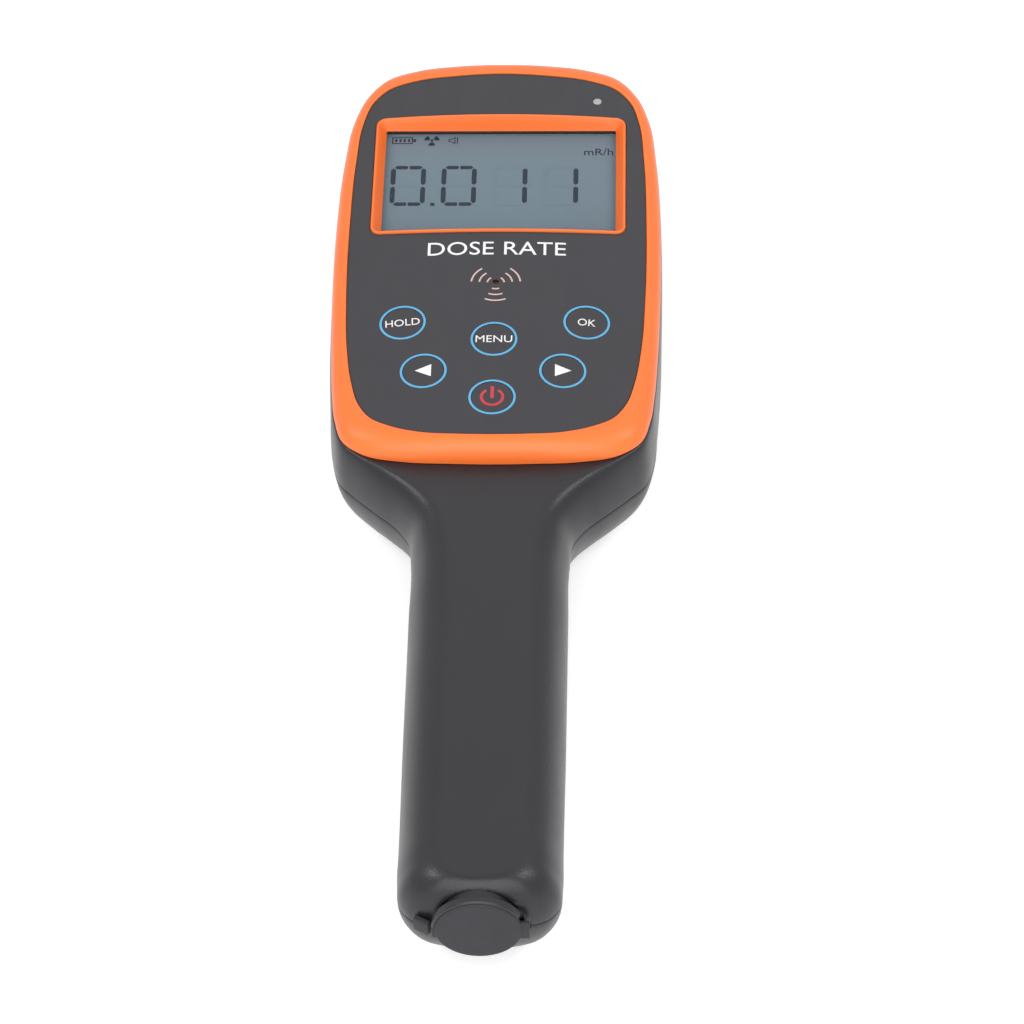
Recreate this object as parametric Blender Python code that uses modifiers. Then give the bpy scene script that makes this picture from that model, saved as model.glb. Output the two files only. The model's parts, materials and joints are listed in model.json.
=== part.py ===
"""Hand-held radiation survey meter: a paddle-shaped casing with a display, six keys and a charging port.

The meter lies on its back. +X runs across it, +Y towards the far end of the head, +Z up out of the panel.
Sizes are in millimetres here and become metres when a mesh is made.
"""
import math

import bmesh
import bpy
from mathutils import Matrix, Vector

MM = 0.001
GAP = 0.3                       # clearance between neighbouring pieces
COLLECTION = "radiation_meter"

# ---- casing: levels -------------------------------------------------------------------------------------
PANEL_TOP = 38.0                # crown of the panel above the underside
CROWN_RADIUS = 317.0            # the panel is crowned across X
RIM_LEVEL = 32.0                # top of the shells, where the frame rests
WALL = 2.2
WIDE_LEVEL = 19.2               # widest line of the casing
PART_LEVEL = 18.6               # the shells part just under it
RAIL_STEPS = 2                  # samples between two rail points
UPPER_RINGS, LOWER_RINGS = 3, 4

# Rails of the right half, from the head's far end to its lower corner:
# panel edge, frame edge, widest line of the casing, edge of its flat underside.
HEAD_RAILS = [
    ((0, 126.5), (0, 133.5), (0, 133.3), (0, 120)),
    ((12, 125.9), (12, 133.1), (12, 132.9), (8, 119.6)),
    ((22.8, 124.5), (22.4, 131.6), (22.5, 131.4), (15, 118)),
    ((29.3, 122.0), (29.8, 128.7), (30.0, 128.5), (20, 115)),
    ((33.3, 117.3), (35.1, 122.1), (35.4, 122.0), (23.6, 110.5)),
    ((35.6, 109.8), (38.3, 113.0), (38.6, 113.0), (25.6, 104.5)),
    ((36.9, 96), (40.1, 98), (40.4, 98), (27, 94)),
    ((37.5, 74), (41.1, 74), (41.4, 74), (28, 74)),
    ((37.2, 47), (40.9, 47), (41.3, 47), (28, 49)),
    ((36.2, 29), (40.2, 28.5), (40.9, 28.5), (27.4, 32)),
    ((34.6, 17.5), (39.4, 16.5), (40.2, 16.0), (26.4, 20)),
    ((32.6, 10.2), (38.3, 8.0), (39.4, 6.5), (24.6, 10.5)),
    ((29.5, 5.3), (36.0, 1.2), (37.3, -0.5), (22, 4)),
]
# The frame's lower edge: panel edge and frame edge.
FRAME_FOOT = [
    ((24.5, 2.2), (31.0, -2.8)),
    ((17.1, -0.2), (21.5, -5.0)),
    ((8, -1.1), (10, -5.6)),
    ((0, -1.35), (0, -5.8)),
]
# Neck and handle: edge of the flat top, widest line, edge of the flat underside.
HANDLE_RAILS = [
    ((30.5, -3.6), (33.2, -5.0), (18.0, -1)),
    ((24.5, -6.8), (28.0, -10.0), (13.4, -5)),
    ((18.6, -11.2), (22.8, -15.1), (10.2, -9.5)),
    ((13.4, -16.8), (19.8, -20.0), (8.2, -15)),
    ((9.8, -24.5), (19.0, -27.0), (6.8, -23)),
    ((7.6, -42), (18.9, -45), (6.2, -42)),
    ((7.2, -85), (18.8, -85), (6.2, -80)),
    ((7.4, -112), (18.6, -113), (6.2, -105)),
    ((7.6, -120.5), (18.6, -121.5), (5.8, -112)),
    ((6.8, -124.5), (18.0, -126.8), (4.8, -116)),
    ((5.2, -126.4), (15.7, -129.8), (3.6, -118)),
    ((2.8, -127.2), (9.0, -132.0), (2.0, -119)),
    ((0, -127.4), (0, -132.9), (0, -119.2)),
]

# ---- front of the head ----------------------------------------------------------------------------------
FRAME_LIP = 0.35                # the frame stands this far above the panel
FRAME_RINGS = 5
OVERLAY_THICK = 0.8
PLATE_THICK = 1.5
OPENING_INSET = 2.6             # rim of the shell inside the frame's edge
BEZEL_HALF = (32.2, 21.1)
BEZEL_CENTRE_Y = 89.9
BEZEL_LIP = 0.5
WINDOW_HALF = (29.65, 19.3)
WINDOW_CENTRE_Y = 89.5
WINDOW_TOP = 34.0

KEYS = {
    "hold": (-22.7, 36.8), "ok": (22.7, 36.8), "menu": (0.0, 30.5),
    "left": (-17.0, 20.1), "right": (17.0, 20.1), "power": (0.0, 11.0),
}
KEY_RADIUS = 5.1
KEY_THICK = 1.6
KEY_TRAVEL = 0.4
STEM_RADIUS = 1.8
KEY_BOARD_TOP = 29.1
SWITCH_TOP = 33.2
INDICATOR = (24.8, 116.8)
INDICATOR_RADIUS = 1.1
SOUND_HOLE = (0.0, 50.2)
SOUND_RADIUS = 0.8

# ---- fasteners, port --------------------------------------------------------------------------------------
HEAD_POSTS = [(30.0, 14.0), (-30.0, 14.0), (16.0, 120.2), (-16.0, 120.2)]
HANDLE_POSTS = [(0.0, -24.0), (0.0, -106.0)]
POST_RADIUS = 3.1
HEAD_POST_LEVEL = 12.0
SCREW_SEAT = 6.0

PORT_X, PORT_Z = 0.0, 21.2
CAP_FACE = -135.0
CAP_BACK = -133.1
CAP_RADIUS = 9.7
COLLAR_RADIUS = 10.6
COLLAR_FACE = -134.6
HOUSING_RADIUS = 8.8
BORE_RADIUS = 7.7
BORE_FLOOR = -126.5
HINGE_X, HINGE_Y = -10.5, -134.0
STRAP_LEVELS = (17.8, 21.8)
STRAP_START, STRAP_END = (-10.9, -133.3), (-14.2, -131.3)
PULL_TAB = (11.4, -3.3, 2.4)    # reach beside the cap, and its low and high edge about the port centre

COLORS = {
    "black_plastic": ((0.062, 0.060, 0.070), 0.45, 0.0),
    "orange_plastic": ((0.95, 0.24, 0.055), 0.35, 0.0),
    "panel_grey": ((0.067, 0.064, 0.076), 0.5, 0.0),
    "clear_window": ((0.18, 0.23, 0.27), 0.08, 0.0),
    "lcd_glass": ((0.20, 0.25, 0.30), 0.2, 0.0),
    "white_plastic": ((0.8, 0.8, 0.78), 0.5, 0.0),
    "rubber_black": ((0.07, 0.068, 0.078), 0.7, 0.0),
    "board_green": ((0.02, 0.16, 0.07), 0.4, 0.0),
    "steel": ((0.6, 0.6, 0.62), 0.3, 1.0),
    "component_black": ((0.02, 0.02, 0.02), 0.5, 0.0),
    "cell_wrap": ((0.05, 0.2, 0.5), 0.35, 0.0),
}


# ---- geometry helpers -------------------------------------------------------------------------------------
def spline(points, steps):
    """Smooth half outline through points; both its ends lie on the mirror line X = 0."""
    pts = [Vector(p) for p in points]
    ends = [Vector((-pts[1].x, pts[1].y))] + pts + [Vector((-pts[-2].x, pts[-2].y))]
    slopes = []
    for before, here, after in zip(ends, ends[1:], ends[2:]):
        h0, h1 = (here - before).length, (after - here).length
        slopes.append(((here - before) / h0 * h1 + (after - here) / h1 * h0) / (h0 + h1))
    out = []
    for i in range(len(pts) - 1):
        h = (pts[i + 1] - pts[i]).length
        for k in range(steps):
            t = k / steps
            out.append(pts[i] * (2 * t**3 - 3 * t**2 + 1) + slopes[i] * h * (t**3 - 2 * t**2 + t)
                       + pts[i + 1] * (3 * t**2 - 2 * t**3) + slopes[i + 1] * h * (t**3 - t**2))
    return out + [pts[-1]]


def full_outline(half):
    """The half outline with its mirror image, counter-clockwise seen from above."""
    mirrored = [Vector((-p.x, p.y)) for p in reversed(half[1:-1])]
    return (half + mirrored)[::-1]


def inset(outline, distance):
    """The outline moved inwards by distance along its own normals."""
    moved = []
    for i, here in enumerate(outline):
        along = outline[(i + 1) % len(outline)] - outline[i - 1]
        moved.append(here + Vector((-along.y, along.x)).normalized() * distance)
    return moved


def crown(x):
    return PANEL_TOP - x * x / (2 * CROWN_RADIUS)


def rectangle(centre, half):
    cx, cy = centre
    hx, hy = half
    return [Vector((cx + sx * hx, cy + sy * hy)) for sx, sy in ((-1, -1), (1, -1), (1, 1), (-1, 1))]


# ---- object helpers ---------------------------------------------------------------------------------------
def material(slot):
    found = bpy.data.materials.get(slot)
    if found:
        return found
    color, roughness, metallic = COLORS[slot]
    made = bpy.data.materials.new(slot)
    made.use_nodes = True
    shader = made.node_tree.nodes["Principled BSDF"]
    shader.inputs["Base Color"].default_value = (*color, 1)
    shader.inputs["Roughness"].default_value = roughness
    shader.inputs["Metallic"].default_value = metallic
    return made


def add_object(name, bm, slot=None):
    """Make an object from bm, a part when it has a slot and a hidden cutter when it has none."""
    bmesh.ops.scale(bm, vec=(MM, MM, MM), verts=bm.verts)
    mesh = bpy.data.meshes.new(name)
    bm.to_mesh(mesh)
    bm.free()
    mesh.shade_smooth()
    mesh.set_sharp_from_angle(angle=math.radians(35))
    obj = bpy.data.objects.new(name, mesh)
    if slot:
        obj.data.materials.append(material(slot))
        PARTS.objects.link(obj)
    else:
        obj.hide_render = True
        obj.display_type = "WIRE"
        CUTTERS.objects.link(obj)
    return obj


def boolean(obj, tool, operation):
    modifier = obj.modifiers.new(tool.name, "BOOLEAN")
    modifier.operation = operation
    modifier.object = tool
    return obj


def cut(obj, tool):
    return boolean(obj, tool, "DIFFERENCE")


def join(obj, tool):
    return boolean(obj, tool, "UNION")


def keep(obj, tool):
    return boolean(obj, tool, "INTERSECT")


def fill_box(bm, low, high):
    centre = [(a + b) / 2 for a, b in zip(low, high)]
    size = [b - a for a, b in zip(low, high)]
    matrix = Matrix.Translation(centre) @ Matrix.Diagonal((*size, 1))
    return bmesh.ops.create_cube(bm, size=1, matrix=matrix)["verts"]


def box(name, low, high, slot=None, bevel=0.0):
    bm = bmesh.new()
    fill_box(bm, low, high)
    obj = add_object(name, bm, slot)
    if bevel:
        rounding = obj.modifiers.new("rounded_edges", "BEVEL")
        rounding.width = bevel * MM
        rounding.segments = 2
    return obj


AXIS_TURN = {"Z": Matrix(), "Y": Matrix.Rotation(math.radians(90), 4, "X")}


def fill_cylinder(bm, low, high, radius, axis="Z", segments=32):
    """A closed cylinder between two points that differ along axis only."""
    centre = (Vector(low) + Vector(high)) / 2
    depth = (Vector(high) - Vector(low)).length
    bmesh.ops.create_cone(bm, cap_ends=True, segments=segments, radius1=radius, radius2=radius,
                          depth=depth, matrix=Matrix.Translation(centre) @ AXIS_TURN[axis])


def cylinder(name, low, high, radius, slot=None, axis="Z", segments=32):
    bm = bmesh.new()
    fill_cylinder(bm, low, high, radius, axis, segments)
    return add_object(name, bm, slot)


def turned(name, profile, place, slot=None, axis="Z", steps=32):
    """A profile of (radius, height) from top to bottom, turned about its own axis."""
    bm = bmesh.new()
    verts = [bm.verts.new((radius, 0, height)) for radius, height in profile]
    for first, second in zip(verts, verts[1:]):
        bm.edges.new((first, second))
    obj = add_object(name, bm, slot)
    obj.matrix_world = Matrix.Translation(Vector(place) * MM) @ AXIS_TURN[axis]
    screw = obj.modifiers.new("turned", "SCREW")
    screw.steps = screw.render_steps = steps
    screw.use_merge_vertices = True
    screw.merge_threshold = 0.00001
    return obj


def prism(name, outline, low, high, slot=None):
    bm = bmesh.new()
    base = bm.faces.new([bm.verts.new((p.x, p.y, low)) for p in outline])
    top = bmesh.ops.extrude_face_region(bm, geom=[base])["geom"]
    lifted = [v for v in top if isinstance(v, bmesh.types.BMVert)]
    bmesh.ops.translate(bm, vec=(0, 0, high - low), verts=lifted)
    bmesh.ops.recalc_face_normals(bm, faces=bm.faces)
    return add_object(name, bm, slot)


def loft(name, rings, slot=None, closed=False):
    """Faces between rings of points; a closed loft joins last ring to first, an open one is capped."""
    bm = bmesh.new()
    rows = [[bm.verts.new(p) for p in ring] for ring in rings]
    pairs = list(zip(rows, rows[1:] + ([rows[0]] if closed else [])))
    for low, high in pairs:
        for i in range(len(low)):
            j = (i + 1) % len(low)
            bm.faces.new((low[i], low[j], high[j], high[i]))
    if not closed:
        bm.faces.new(rows[0][::-1])
        bm.faces.new(rows[-1])
    bmesh.ops.recalc_face_normals(bm, faces=bm.faces)
    return add_object(name, bm, slot)


def crown_slab(name, depth_top, depth_bottom, slot=None, half_width=42.0, low_y=-12.0, high_y=140.0,
               strips=12):
    """A slab across the head between two depths below the crown; a bottom of None is flat and far down."""
    xs = [half_width * (2 * i / strips - 1) for i in range(strips + 1)]
    top = [Vector((x, crown(x) - depth_top)) for x in xs]
    if depth_bottom is None:
        bottom = [Vector((half_width, 0)), Vector((-half_width, 0))]
    else:
        bottom = [Vector((x, crown(x) - depth_bottom)) for x in reversed(xs)]
    section = top + bottom
    rings = [[(p.x, y, p.y) for p in section] for y in (low_y, high_y)]
    return loft(name, rings, slot)


# ---- casing -----------------------------------------------------------------------------------------------
BODY_TOP = [rail[1] for rail in HEAD_RAILS] + [rail[0] for rail in HANDLE_RAILS]
BODY_WIDE = [rail[2] for rail in HEAD_RAILS] + [rail[1] for rail in HANDLE_RAILS]
BODY_FOOT = [rail[3] for rail in HEAD_RAILS] + [rail[2] for rail in HANDLE_RAILS]
PANEL_EDGE = [rail[0] for rail in HEAD_RAILS] + [foot[0] for foot in FRAME_FOOT]
FRAME_EDGE = [rail[1] for rail in HEAD_RAILS] + [foot[1] for foot in FRAME_FOOT]


def body_solid(name, shrink, slot=None):
    """The casing's outer form, or with shrink its hollow: three rails joined by quarter ellipses."""
    top, wide, foot = (inset(full_outline(spline(rail, RAIL_STEPS)), shrink)
                       for rail in (BODY_TOP, BODY_WIDE, BODY_FOOT))
    rings = []
    for k in range(LOWER_RINGS + 1):
        turn = math.radians(90) * k / LOWER_RINGS
        height = WIDE_LEVEL - (WIDE_LEVEL - shrink) * math.cos(turn)
        rings.append([(*(f + (w - f) * math.sin(turn)), height) for f, w in zip(foot, wide)])
    for k in range(1, UPPER_RINGS + 1):
        turn = math.radians(90) * k / UPPER_RINGS
        height = WIDE_LEVEL + (RIM_LEVEL - shrink - WIDE_LEVEL) * math.sin(turn)
        rings.append([(*(t + (w - t) * math.cos(turn)), height) for t, w in zip(top, wide)])
    return loft(name, rings, slot)


def build_shells():
    hollow = body_solid("casing_hollow", WALL)
    frame_outline = full_outline(spline(FRAME_EDGE, RAIL_STEPS))
    head_opening = prism("head_opening", inset(frame_outline, OPENING_INSET), RIM_LEVEL - 4, RIM_LEVEL + 4)

    bm = bmesh.new()
    for x, y in HANDLE_POSTS:
        fill_cylinder(bm, (x, y, 1), (x, y, 31), POST_RADIUS, segments=20)
    handle_posts = add_object("handle_posts", bm)
    bm = bmesh.new()
    for x, y in HEAD_POSTS:
        fill_cylinder(bm, (x, y, 3), (x, y, HEAD_POST_LEVEL - GAP / 2), POST_RADIUS, segments=20)
    head_posts = add_object("head_posts", bm)
    bm = bmesh.new()
    for x, y in HEAD_POSTS + HANDLE_POSTS:
        fill_cylinder(bm, (x, y, -2), (x, y, SCREW_SEAT), 3.0, segments=20)
    screw_wells = add_object("screw_wells", bm)
    bm = bmesh.new()
    for x, y in HEAD_POSTS + HANDLE_POSTS:
        fill_cylinder(bm, (x, y, SCREW_SEAT - 1), (x, y, 22), 1.75, segments=16)
    screw_bores = add_object("screw_bores", bm)

    collar = cylinder("port_collar", (PORT_X, COLLAR_FACE, PORT_Z), (PORT_X, -125, PORT_Z), COLLAR_RADIUS,
                      axis="Y", segments=40)
    port_bore = cylinder("port_bore", (PORT_X, -140, PORT_Z), (PORT_X, -120, PORT_Z), HOUSING_RADIUS + GAP,
                         axis="Y", segments=40)
    cap_recess = cylinder("cap_recess", (PORT_X, -140, PORT_Z), (PORT_X, CAP_BACK + GAP, PORT_Z),
                          CAP_RADIUS + GAP, axis="Y", segments=40)
    reach, tab_low, tab_high = PULL_TAB
    nail_notch = box("nail_notch", (8.0, -138, PORT_Z + tab_low - GAP),
                     (reach + GAP, -131.2, PORT_Z + tab_high + 2.4))
    below_parting = box("below_parting", (-60, -150, -10), (60, 150, PART_LEVEL + GAP / 2))
    above_parting = box("above_parting", (-60, -150, PART_LEVEL - GAP / 2), (60, 150, 60))
    strap_notch = strap_block("strap_notch", GAP)
    tab_notch = box("tab_notch", (-11.4, -138, STRAP_LEVELS[0] - GAP),
                    (-6, CAP_BACK + GAP, STRAP_LEVELS[1] + GAP))

    upper = body_solid("upper_shell", 0.0, "black_plastic")
    for tool in (hollow, head_opening):
        cut(upper, tool)
    join(upper, handle_posts)
    join(upper, collar)
    for tool in (below_parting, screw_bores, port_bore, cap_recess, nail_notch, strap_notch, tab_notch):
        cut(upper, tool)

    lower = body_solid("lower_shell", 0.0, "black_plastic")
    cut(lower, hollow)
    join(lower, handle_posts)
    join(lower, head_posts)
    for tool in (above_parting, screw_wells, screw_bores, port_bore, cap_recess, nail_notch, strap_notch,
                 tab_notch):
        cut(lower, tool)


# ---- front ------------------------------------------------------------------------------------------------
def frame_ring(name, slot):
    """The orange rim: a convex quarter round from the panel's edge out and down to the shell."""
    panel = full_outline(spline(PANEL_EDGE, RAIL_STEPS))
    edge = full_outline(spline(FRAME_EDGE, RAIL_STEPS))
    low = RIM_LEVEL + GAP
    rings = [[(p.x, p.y, low) for p in panel]]
    for k in range(FRAME_RINGS + 1):
        turn = math.radians(90) * k / FRAME_RINGS
        rings.append([(*(p + (e - p) * math.sin(turn)), low + (crown(p.x) + FRAME_LIP - low) * math.cos(turn))
                      for p, e in zip(panel, edge)])
    return loft(name, rings, slot, closed=True)


def key_holes(name, radius):
    bm = bmesh.new()
    for x, y in KEYS.values():
        fill_cylinder(bm, (x, y, 30), (x, y, 42), radius)
    return add_object(name, bm)


def small_holes(name, extra):
    bm = bmesh.new()
    fill_cylinder(bm, (*INDICATOR, 30), (*INDICATOR, 42), INDICATOR_RADIUS + extra, segments=16)
    fill_cylinder(bm, (*SOUND_HOLE, 30), (*SOUND_HOLE, 42), SOUND_RADIUS, segments=16)
    return add_object(name, bm)


def build_front():
    panel = full_outline(spline(PANEL_EDGE, RAIL_STEPS))
    openings = key_holes("key_holes", KEY_RADIUS + GAP)
    pin_holes = small_holes("pin_holes", GAP)
    bezel_hole = prism("bezel_hole", rectangle((0, BEZEL_CENTRE_Y), [h + GAP for h in BEZEL_HALF]), 30, 42)

    plate = crown_slab("plate_layer", OVERLAY_THICK + GAP, OVERLAY_THICK + GAP + PLATE_THICK)
    keep(plate, prism("plate_outline", inset(panel, -1.2), 20, 45))
    bm = bmesh.new()
    for x, y in HEAD_POSTS:
        fill_cylinder(bm, (x, y, HEAD_POST_LEVEL + GAP / 2), (x, y, crown(x) - 2), POST_RADIUS, segments=20)
    posts = add_object("frame_posts", bm)
    bm = bmesh.new()
    for x, y in HEAD_POSTS:
        fill_cylinder(bm, (x, y, 5), (x, y, 22), 1.75, segments=16)
    post_bores = add_object("post_bores", bm)

    frame = frame_ring("front_frame", "orange_plastic")
    join(frame, plate)
    join(frame, posts)
    for tool in (post_bores, openings, pin_holes, bezel_hole):
        cut(frame, tool)

    overlay = crown_slab("overlay", 0.0, OVERLAY_THICK, "panel_grey")
    keep(overlay, prism("overlay_outline", inset(panel, GAP), 20, 45))
    for tool in (openings, pin_holes, bezel_hole):
        cut(overlay, tool)

    bezel = crown_slab("lcd_bezel", -BEZEL_LIP, None, "orange_plastic")
    keep(bezel, prism("bezel_outline", rectangle((0, BEZEL_CENTRE_Y), BEZEL_HALF), WINDOW_TOP + GAP, 45))
    low = rectangle((0, WINDOW_CENTRE_Y), WINDOW_HALF)
    high = rectangle((0, BEZEL_CENTRE_Y), (BEZEL_HALF[0] - 0.6, BEZEL_HALF[1] - 0.6))
    well = [[(*(a + (b - a) * t), z) for a, b in zip(low, high)]
            for t, z in ((0.0, 30.0), (0.0, WINDOW_TOP), (0.85, PANEL_TOP + BEZEL_LIP), (1.0, PANEL_TOP + 2))]
    cut(bezel, loft("bezel_well", well))

    key_skin = crown_slab("key_skin", 0.0, None)
    stem_end = SWITCH_TOP + KEY_TRAVEL + 0.1
    for name, (x, y) in KEYS.items():
        under = crown(x) - KEY_THICK
        profile = [(0, 40), (KEY_RADIUS, 40), (KEY_RADIUS, under), (STEM_RADIUS, under),
                   (STEM_RADIUS, stem_end), (0, stem_end)]
        key = turned("key_" + name, profile, (x, y, 0), "panel_grey")
        keep(key, key_skin)

    x, y = INDICATOR
    turned("indicator_lens", [(0, crown(x) + 0.2), (0.7, crown(x) + 0.15), (INDICATOR_RADIUS, crown(x) - 0.2),
                              (INDICATOR_RADIUS, 31.0), (0, 31.0)], (x, y, 0), "clear_window", steps=16)


# ---- display, boards, detector ----------------------------------------------------------------------------
def layer(name, half, centre_y, low, high, slot, bevel=0.0):
    """A flat rectangular piece centred on X = 0."""
    return box(name, (-half[0], centre_y - half[1], low), (half[0], centre_y + half[1], high), slot, bevel)


def build_display():
    centre = WINDOW_CENTRE_Y
    layer("lcd_window", (30.6, 19.9), centre, WINDOW_TOP - 1.2, WINDOW_TOP, "clear_window")
    layer("lcd_panel", (30.4, 19.7), centre, 30.3, 32.5, "lcd_glass")
    layer("lcd_backlight", (30.4, 19.7), centre, 28.4, 30.0, "white_plastic")
    holder = layer("lcd_holder", (32.6, 22.2), centre, 28.1, 33.2, "white_plastic")
    cut(holder, layer("holder_hollow", (30.9, 20.2), centre, 20, 40, None))
    board = layer("display_board", (31.0, 24.7), 91.0, 26.4, 27.8, "board_green")
    join(board, box("led_tab", (21.5, 110, 26.4), (28.5, 120, 27.8)))
    x, y = INDICATOR
    box("status_led", (x - 1.4, y - 1.4, 28.1), (x + 1.4, y + 1.4, 30.7), "white_plastic", 0.3)


def build_key_board():
    box("key_board", (-26.3, 4.0, KEY_BOARD_TOP - 1.6), (26.3, 44.0, KEY_BOARD_TOP), "board_green")
    for name, (x, y) in KEYS.items():
        base = KEY_BOARD_TOP + GAP
        switch = box("switch_" + name, (x - 3, y - 3, base), (x + 3, y + 3, base + 2.9), "component_black")
        join(switch, cylinder("plunger_" + name, (x, y, base + 1), (x, y, SWITCH_TOP), 1.7, segments=16))
    turned("sounder", [(0, 34.2), (5.4, 34.2), (6.0, 33.6), (6.0, 29.6), (0, 29.6)], (*SOUND_HOLE, 0),
           "component_black", steps=24)


def build_detector():
    layer("main_board", (25.4, 51.0), 61.0, 14.0, 15.6, "board_green")
    box("shield_can", (1.0, 24.0, 15.9), (23.0, 50.0, 19.6), "steel", 0.4)
    box("hv_module", (-22.0, 54.0, 15.9), (-2.0, 78.0, 23.0), "component_black", 0.5)
    turned("gm_tube", [(0, 47), (2.2, 47), (2.6, 44.5), (5.0, 44), (5.2, 43.6), (5.2, -43.6), (5.0, -44),
                       (2.6, -44.5), (2.2, -47), (0, -47)], (13.0, 61.0, 8.1), "steel", axis="Y", steps=24)
    for name, y in (("tube_clip_front", 26.0), ("tube_clip_rear", 96.0)):
        clip = box(name, (6.0, y - 2, 8.6), (20.0, y + 2, 13.7), "steel")
        cut(clip, cylinder(name + "_seat", (13.0, y - 6, 8.1), (13.0, y + 6, 8.1), 5.2 + GAP, axis="Y",
                           segments=24))
    cylinder("vibration_motor", (-17.0, 84.0, 8.0), (-17.0, 97.0, 8.0), 3.6, "steel", axis="Y", segments=20)


def build_power():
    cell_z = 17.2
    profile = [(0, 33.2), (2.8, 33.2), (2.8, 32), (8.6, 32), (9.1, 31.5), (9.1, -32), (8.8, -32.4), (0, -32.4)]
    turned("battery_cell", profile, (0, -65.5, cell_z), "cell_wrap", axis="Y", steps=28)
    cradle = box("battery_cradle", (-10.8, -96.5, 5.6), (10.8, -34.5, 12.2), "component_black")
    cut(cradle, cylinder("cradle_seat", (0, -120, cell_z), (0, -10, cell_z), 9.1 + GAP, axis="Y",
                         segments=28))
    box("battery_contact_negative", (-6.5, -32.7, 10.0), (6.5, -32.1, 24.0), "steel")
    box("battery_contact_positive", (-6.5, -99.9, 10.0), (6.5, -99.3, 24.0), "steel")

    housing = cylinder("port_housing", (PORT_X, CAP_BACK + GAP, PORT_Z), (PORT_X, -124.0, PORT_Z),
                       HOUSING_RADIUS, "component_black", axis="Y", segments=40)
    cut(housing, cylinder("port_cup", (PORT_X, -140, PORT_Z), (PORT_X, BORE_FLOOR, PORT_Z), BORE_RADIUS,
                          axis="Y", segments=40))
    socket_half = (4.5, 1.7)
    cut(housing, box("socket_slot", (PORT_X - socket_half[0] - GAP, -132, PORT_Z - socket_half[1] - GAP),
                     (PORT_X + socket_half[0] + GAP, -120, PORT_Z + socket_half[1] + GAP)))
    socket = box("charge_socket", (PORT_X - socket_half[0], BORE_FLOOR + 0.1, PORT_Z - socket_half[1]),
                 (PORT_X + socket_half[0], -119.2, PORT_Z + socket_half[1]), "steel")
    cut(socket, box("socket_mouth", (PORT_X - socket_half[0] + 0.5, -132, PORT_Z - socket_half[1] + 0.5),
                    (PORT_X + socket_half[0] - 0.5, -121, PORT_Z + socket_half[1] - 0.5)))
    box("charge_board", (PORT_X - 8, -123.4, 17.6), (PORT_X + 8, -112.0, 18.8), "board_green")


def strap_block(name, extra, slot=None):
    """The strap's straight run from beside the cap back along the rounded end of the handle."""
    start, end = Vector(STRAP_START), Vector(STRAP_END)
    along = (end - start).normalized()
    across = Vector((-along.y, along.x))
    half = 0.7 + extra
    first, last = start - along * extra, end + along * extra
    corners = [first - across * half, last - across * half, last + across * half, first + across * half]
    return prism(name, corners, STRAP_LEVELS[0] - extra, STRAP_LEVELS[1] + extra, slot)


def build_cap():
    strap_block("cap_strap", 0.0, "rubber_black")
    hinge = bpy.data.objects.new("cap_hinge", None)
    hinge.location = Vector((HINGE_X, HINGE_Y, PORT_Z)) * MM
    PARTS.objects.link(hinge)
    thick = CAP_BACK - CAP_FACE
    profile = [(0, thick), (CAP_RADIUS - 0.3, thick), (CAP_RADIUS, thick - 0.3), (CAP_RADIUS, 0), (7.2, 0),
               (7.2, -1.5), (6.4, -1.5), (6.4, 0.2), (0, 0.2)]
    cap = turned("port_cap", profile, (PORT_X, CAP_BACK, PORT_Z), "rubber_black", axis="Y", steps=40)
    bm = bmesh.new()
    fill_box(bm, (HINGE_X + 0.1, CAP_BACK - 1.2, STRAP_LEVELS[0]), (-7.0, CAP_BACK - 0.05, STRAP_LEVELS[1]))
    reach, tab_low, tab_high = PULL_TAB
    fill_box(bm, (7.0, CAP_BACK - 1.6, PORT_Z + tab_low), (reach, CAP_BACK - 0.4, PORT_Z + tab_high))
    join(cap, add_object("cap_tabs", bm))
    cap.parent = hinge
    cap.matrix_parent_inverse = Matrix.Translation(-hinge.location)


def build_screws():
    for number, (x, y) in enumerate(HEAD_POSTS + HANDLE_POSTS, 1):
        head = SCREW_SEAT - GAP
        screw = turned(f"case_screw_{number}", [(0, 21), (0.9, 21), (1.4, 20), (1.4, head), (2.6, head),
                                                (2.6, head - 1.4), (2.2, head - 1.8), (0, head - 1.8)],
                       (x, y, 0), "steel", steps=16)
        cut(screw, box(f"screw_slot_{number}", (x - 1.6, y - 0.35, head - 3),
                       (x + 1.6, y + 0.35, head - 1.1)))


def new_collection(name):
    made = bpy.data.collections.new(name)
    bpy.context.scene.collection.children.link(made)
    return made


for leftover in list(bpy.data.objects):
    bpy.data.objects.remove(leftover)
PARTS = new_collection(COLLECTION)
CUTTERS = new_collection("cutters")
build_shells()
build_front()
build_display()
build_key_board()
build_detector()
build_power()
build_cap()
build_screws()
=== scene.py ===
"""Looks of a hand-held radiation survey meter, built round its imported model.

The meter lies on its back: +X runs across it, +Y towards the far end of the head, +Z up out of the panel.
Sizes are in millimetres here and become metres when a mesh is placed.
"""
import json
import math

import bpy
from bpy.props import FloatProperty, FloatVectorProperty, PointerProperty, StringProperty
from bpy.types import Operator, Panel, PropertyGroup
from mathutils import Matrix, Vector


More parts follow.
